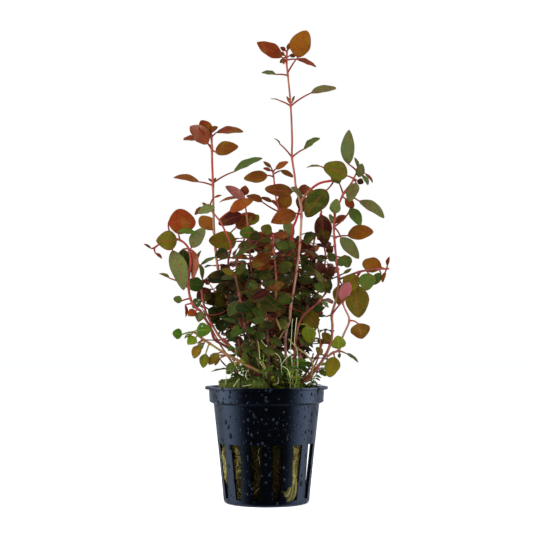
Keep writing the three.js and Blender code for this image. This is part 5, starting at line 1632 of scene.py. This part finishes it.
for stem in STEMS:
    name = stem["name"]
    line = lines_of[name]
    bush = Growth()
    shoots = Growth()
    tone = np.array(linear(stem["tone"][1])) * STEM_SHADE
    turn = random.uniform(0, FULL_TURN)
    nodes = np.cumsum(random.integers(2, 5, len(line)))
    for foot in line[nodes[nodes < len(line)]]:
        if not in_bush(foot):
            continue
        turn += math.pi / 2 + random.uniform(-0.4, 0.4)
        starts = [(foot, turn, 1.0), (foot, turn + math.pi, 1.0)]
        if random.uniform() < TWIG_SHARE * smooth(foot[1], -6 * MM, 6 * MM):
            azimuth = turn + math.pi / 2
            reach = random.uniform(*TWIG_LENGTHS) * MM
            end_rise = random.uniform(0.2, 0.8)
            end = foot + reach * np.array([math.cos(azimuth), math.sin(azimuth), end_rise])
            if in_bush(end):
                t = np.linspace(0, 1, TWIG_POINTS)[:, None]
                twig = foot + (end - foot) * t + np.array([0, 0, -0.12 * reach]) * 4 * t * (1 - t)
                radii = np.linspace(*TWIG_RADII, TWIG_POINTS)
                shoots.strand(twig, radii, 6, tone, [0.7, 0.5, 0.45, 1])
                for part, size in TWIG_PAIRS:
                    spin = azimuth + math.pi / 2 + part * 0.8
                    starts += [(twig[part], spin, size), (twig[part], spin + math.pi, size)]
                starts.append((twig[-1], azimuth, TWIG_END))
        for place_at, azimuth, size in starts:
            low_down = 1 - smooth(place_at[2], 58 * MM, 84 * MM)
            if random.uniform() < LOW_GAPS * low_down:
                continue
            grown = bush_leaf(
                place_at,
                azimuth,
                random.uniform(*BUSH_LEAF_LENGTHS) * MM * size * (1 - LOW_SHRINKING * low_down),
                random.uniform(*BUSH_LEAF_RISES),
                random.uniform(*BUSH_STALK_LENGTHS) * MM,
            )
            inside = in_bush(grown["tip"], 0.3 * MM) and in_bush(grown["base"], 0.5 * MM)
            if inside and not hides(grown):
                rings, place_values = leaf_rings(grown, "small")
                # Painted shade, with less of it towards the top of the bush.
                inner = INNER_SHADE + 0.3 * smooth(grown["base"][2], 96 * MM, 118 * MM)
                colours = leaf_colours(grown["tint"], grown["base"][2], 0.2)
                bush.add(rings, place_values, *dimmed(colours, inner))
    if bush.count:
        bush.piece(f"bush_{name}", blade_finish, "leaf_green", f"stem_{name}")
    if shoots.count:
        shoots.piece(f"shoots_{name}", stem_finish, "stem", f"stem_{name}")

# Bare twigs: leafless side shoots that fan out of the wool under the bush, red-brown or olive.
# Each row is a colour and the same path points as a stem's.
TWIGS = [
    [0x6E4A30, [2.5, 88.2, -19], [4.4, 83, -19.5], [6.5, 77.8, -19]],
    [0x6A3026, [-4.9, 75.8, -20], [-3.6, 69, -20], [-2.9, 64.9, -19.5], [-0.4, 60.4, -18], [1.5, 54, -14]],
    [0x5E3A26, [-10.9, 71.3, -18], [-10.4, 66, -18], [-9.4, 61.9, -17], [-5, 55, -13]],
    [0x7A3A2E, [-12.8, 73.8, -14], [-12.2, 70, -14], [-11.8, 66.9, -14], [-7, 59, -11], [-3, 52, -8]],
    [0x7A342A, [-19.8, 74.3, -17], [-15.6, 70, -17], [-11.8, 65.4, -17], [-4.9, 58.9, -15], [0.5, 53, -12]],
    [0x3A2A1A, [-22.3, 65.9, -15], [-18.8, 61.9, -15], [-12, 57.2, -14], [-6, 53, -11]],
    [0x5A261E, [9.5, 80.3, -18], [5.5, 73.3, -19], [1.5, 67.4, -19], [-0.6, 61, -18], [0.4, 54, -15]],
    [0x7C6C3E, [10, 73.8, -19], [14, 69.6, -18], [17.9, 66.9, -17], [21.2, 62, -15], [20, 57, -12]],
    [0x6E3C2A, [23.3, 79.8, -9], [24.3, 74, -9.5], [24.3, 68.9, -10], [21.9, 61.4, -10], [16, 54, -9]],
    [0x3E2C1C, [21.4, 67.4, -12], [19.4, 60.4, -12], [14, 54, -10]],
    [0x80703E, [-6, 67, -17], [-1.6, 61.6, -19], [2.6, 57.4, -18], [4.4, 52, -15]],
    [0x6C4632, [16.4, 70, -12], [13.8, 63, -13], [9.6, 56.4, -13], [7, 51, -11]],
]
twigs = Growth()
for shade, *path in TWIGS:
    line = stem_line(path, 0.8 * MM)
    radii = np.linspace(0.3, 0.42, len(line)) * MM
    twigs.strand(line, radii, 8, np.array(linear(shade)), [0.75, 0.7, 0.6, 1])
twigs.piece("bare_twigs", stem_finish, "stem")

# Seedlings and offsets: a carpet of tiny bright green shoots on the wool, low in the bush.
SEEDLINGS = 110
SEEDLING_GREEN = np.array(linear(0x7C9A3E))
SEEDLING_RADIUS = 0.14 * MM
SEEDLING_HEIGHTS = (3, 17)
SPROUT_LENGTHS = (1.4, 3.6)
SPROUT_STALK_RADIUS = 0.12 * MM
SPROUT_FRESHNESS = [1.1, 1.25, 0.9, 1]
seedlings = Growth()
for _ in range(SEEDLINGS):
    foot_x = random.triangular(-16, 6, 23) * MM
    foot_y = random.uniform(-19, 16) * MM
    if math.hypot(foot_x, foot_y) > MOSS_REACH:
        continue
    ground = float(wool_top(np.array(foot_x), np.array(foot_y)))
    foot = np.array([foot_x, foot_y, ground])
    tall = random.uniform(*SEEDLING_HEIGHTS) * MM
    lean = random.uniform(-0.4, 0.4, 2)
    t = np.linspace(0, 1, 6)[:, None]
    top = foot + tall * np.array([lean[0], lean[1] - 0.15, 1])
    twig = foot + (top - foot) * t + 0.15 * tall * np.array([lean[1], -lean[0], 0]) * np.sin(3 * t)
    seedlings.strand(twig, SEEDLING_RADIUS, 5, SEEDLING_GREEN, along=LIKE_A_STALK)
    turn = random.uniform(0, FULL_TURN)
    for part in (2, 3, 4, 5):
        turn += math.pi / 2
        for flip in (0, math.pi):
            size = random.uniform(*SPROUT_LENGTHS) * MM
            sprout = bush_leaf(twig[part], turn + flip, size, 0.5, 0.5 * MM)
            sprout["stalk"] = SPROUT_STALK_RADIUS
            rings, place_values = leaf_rings(sprout, "tiny")
            colours = leaf_colours(random.choice(["f", "f", "g", "y"]), 0, 0.25)
            seedlings.add(rings, place_values, *(colour * SPROUT_FRESHNESS for colour in colours))
seedlings.piece("seedlings", blade_finish, "leaf_green")

# Roots: pale threads that hang from the nodes and run over the wool and the rim. Each row is the
# path of one thread, with the same points as a stem's. Short dim ones stand up from the wool.
ROOT_PALE = np.array(linear(0xBAB694))
ROOT_DIM = ROOT_PALE * [0.5, 0.5, 0.36, 1]
ROOT_RADII = (0.19 * MM, 0.11 * MM)
SHORT_ROOTS = 70
SHORT_ROOT_RADIUS = 0.1 * MM
SHORT_ROOT_LENGTHS = (3, 8)
ROOTS = [
    [[-11, 56, -15], [-12.5, 55.4, -18], [-14, 53.6, -22], [-15, 52.2, -24]],
    [[-4.5, 55, -14], [-5.6, 53.8, -18], [-7, 53, -21], [-9, 52.6, -23], [-11, 52.3, -24.4]],
    [[-2, 56, -16], [-3.2, 54.4, -18.5], [-3.3, 52.8, -20], [-2, 52.3, -21], [-0.9, 53, -20.6],
        [-1.4, 54.6, -19]],
    [[12.8, 67.3, -14], [10.5, 66.5, -17], [8.5, 64.5, -19], [7, 62.5, -20], [6.5, 61.5, -20]],
    [[7, 61.5, -20], [9.5, 60, -22], [10.5, 57.5, -22.5], [10.8, 54, -21], [10.8, 51, -20]],
    [[-3.3, 65.5, -18], [-2.5, 62.5, -20], [-1, 60.5, -20.5], [0, 56, -19]],
    [[11.9, 83, -15], [11.6, 80, -16], [11.5, 77, -16.5], [11, 70, -16], [11.6, 62, -17], [12, 52, -16]],
    [[13.8, 83.5, -16], [13, 76, -17], [12.8, 72, -17], [14, 68, -17], [14, 62, -16], [13.4, 52, -15]],
    [[-18.5, 59.6, -16], [-18.4, 57, -16], [-18.5, 53, -16]],
    [[23, 58, -8], [21, 55.5, -8], [19, 52, -8]],
    [[-6, 78.5, -19], [-3, 74, -20], [0, 70.3, -21], [3, 68, -21], [6, 65.5, -20], [7, 58, -18]],
    [[-4.8, 76, -19], [-3.8, 72, -20], [-3.2, 68, -21], [-3, 65, -21], [-1, 62, -20], [0.5, 58, -19]],
    [[24.2, 73, -9], [24.3, 76.5, -9], [23.5, 79.7, -10]],
    [[4, 58, -17], [5.5, 55.5, -19], [5.2, 53.6, -20.5], [3.6, 53.2, -21.5]],
    [[-8, 60, -17], [-9.5, 57.5, -18.5], [-8.8, 55.6, -19.5], [-6.8, 55.2, -20]],
]
threads = Growth()
for path in ROOTS:
    line = stem_line(path, 0.5 * MM)
    threads.strand(line, np.linspace(*ROOT_RADII, len(line)), 6, ROOT_PALE, [0.8, 0.75, 0.6, 1])
for _ in range(SHORT_ROOTS):
    turn = random.uniform(0, FULL_TURN)
    radius = random.uniform(2, 18)
    foot = np.array([radius * math.cos(turn), radius * math.sin(turn)])
    length = random.uniform(*SHORT_ROOT_LENGTHS)
    bend = random.uniform(-2, 2, 4)
    floor_z = float(wool_top(np.array(foot[0] * MM), np.array(foot[1] * MM))) / MM
    path = [
        [foot[0], floor_z + 0.2, foot[1]],
        [foot[0] + bend[0], floor_z + length * 0.6, foot[1] + bend[1]],
        [foot[0] + bend[0] + bend[2], floor_z + length, foot[1] + bend[1] + bend[3]],
    ]
    threads.strand(stem_line(path, 0.8 * MM), SHORT_ROOT_RADIUS, 5, ROOT_DIM)
threads.piece("roots", stem_finish, "root")

sizes["visual"] = [[float(v) for v in corner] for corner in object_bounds()]
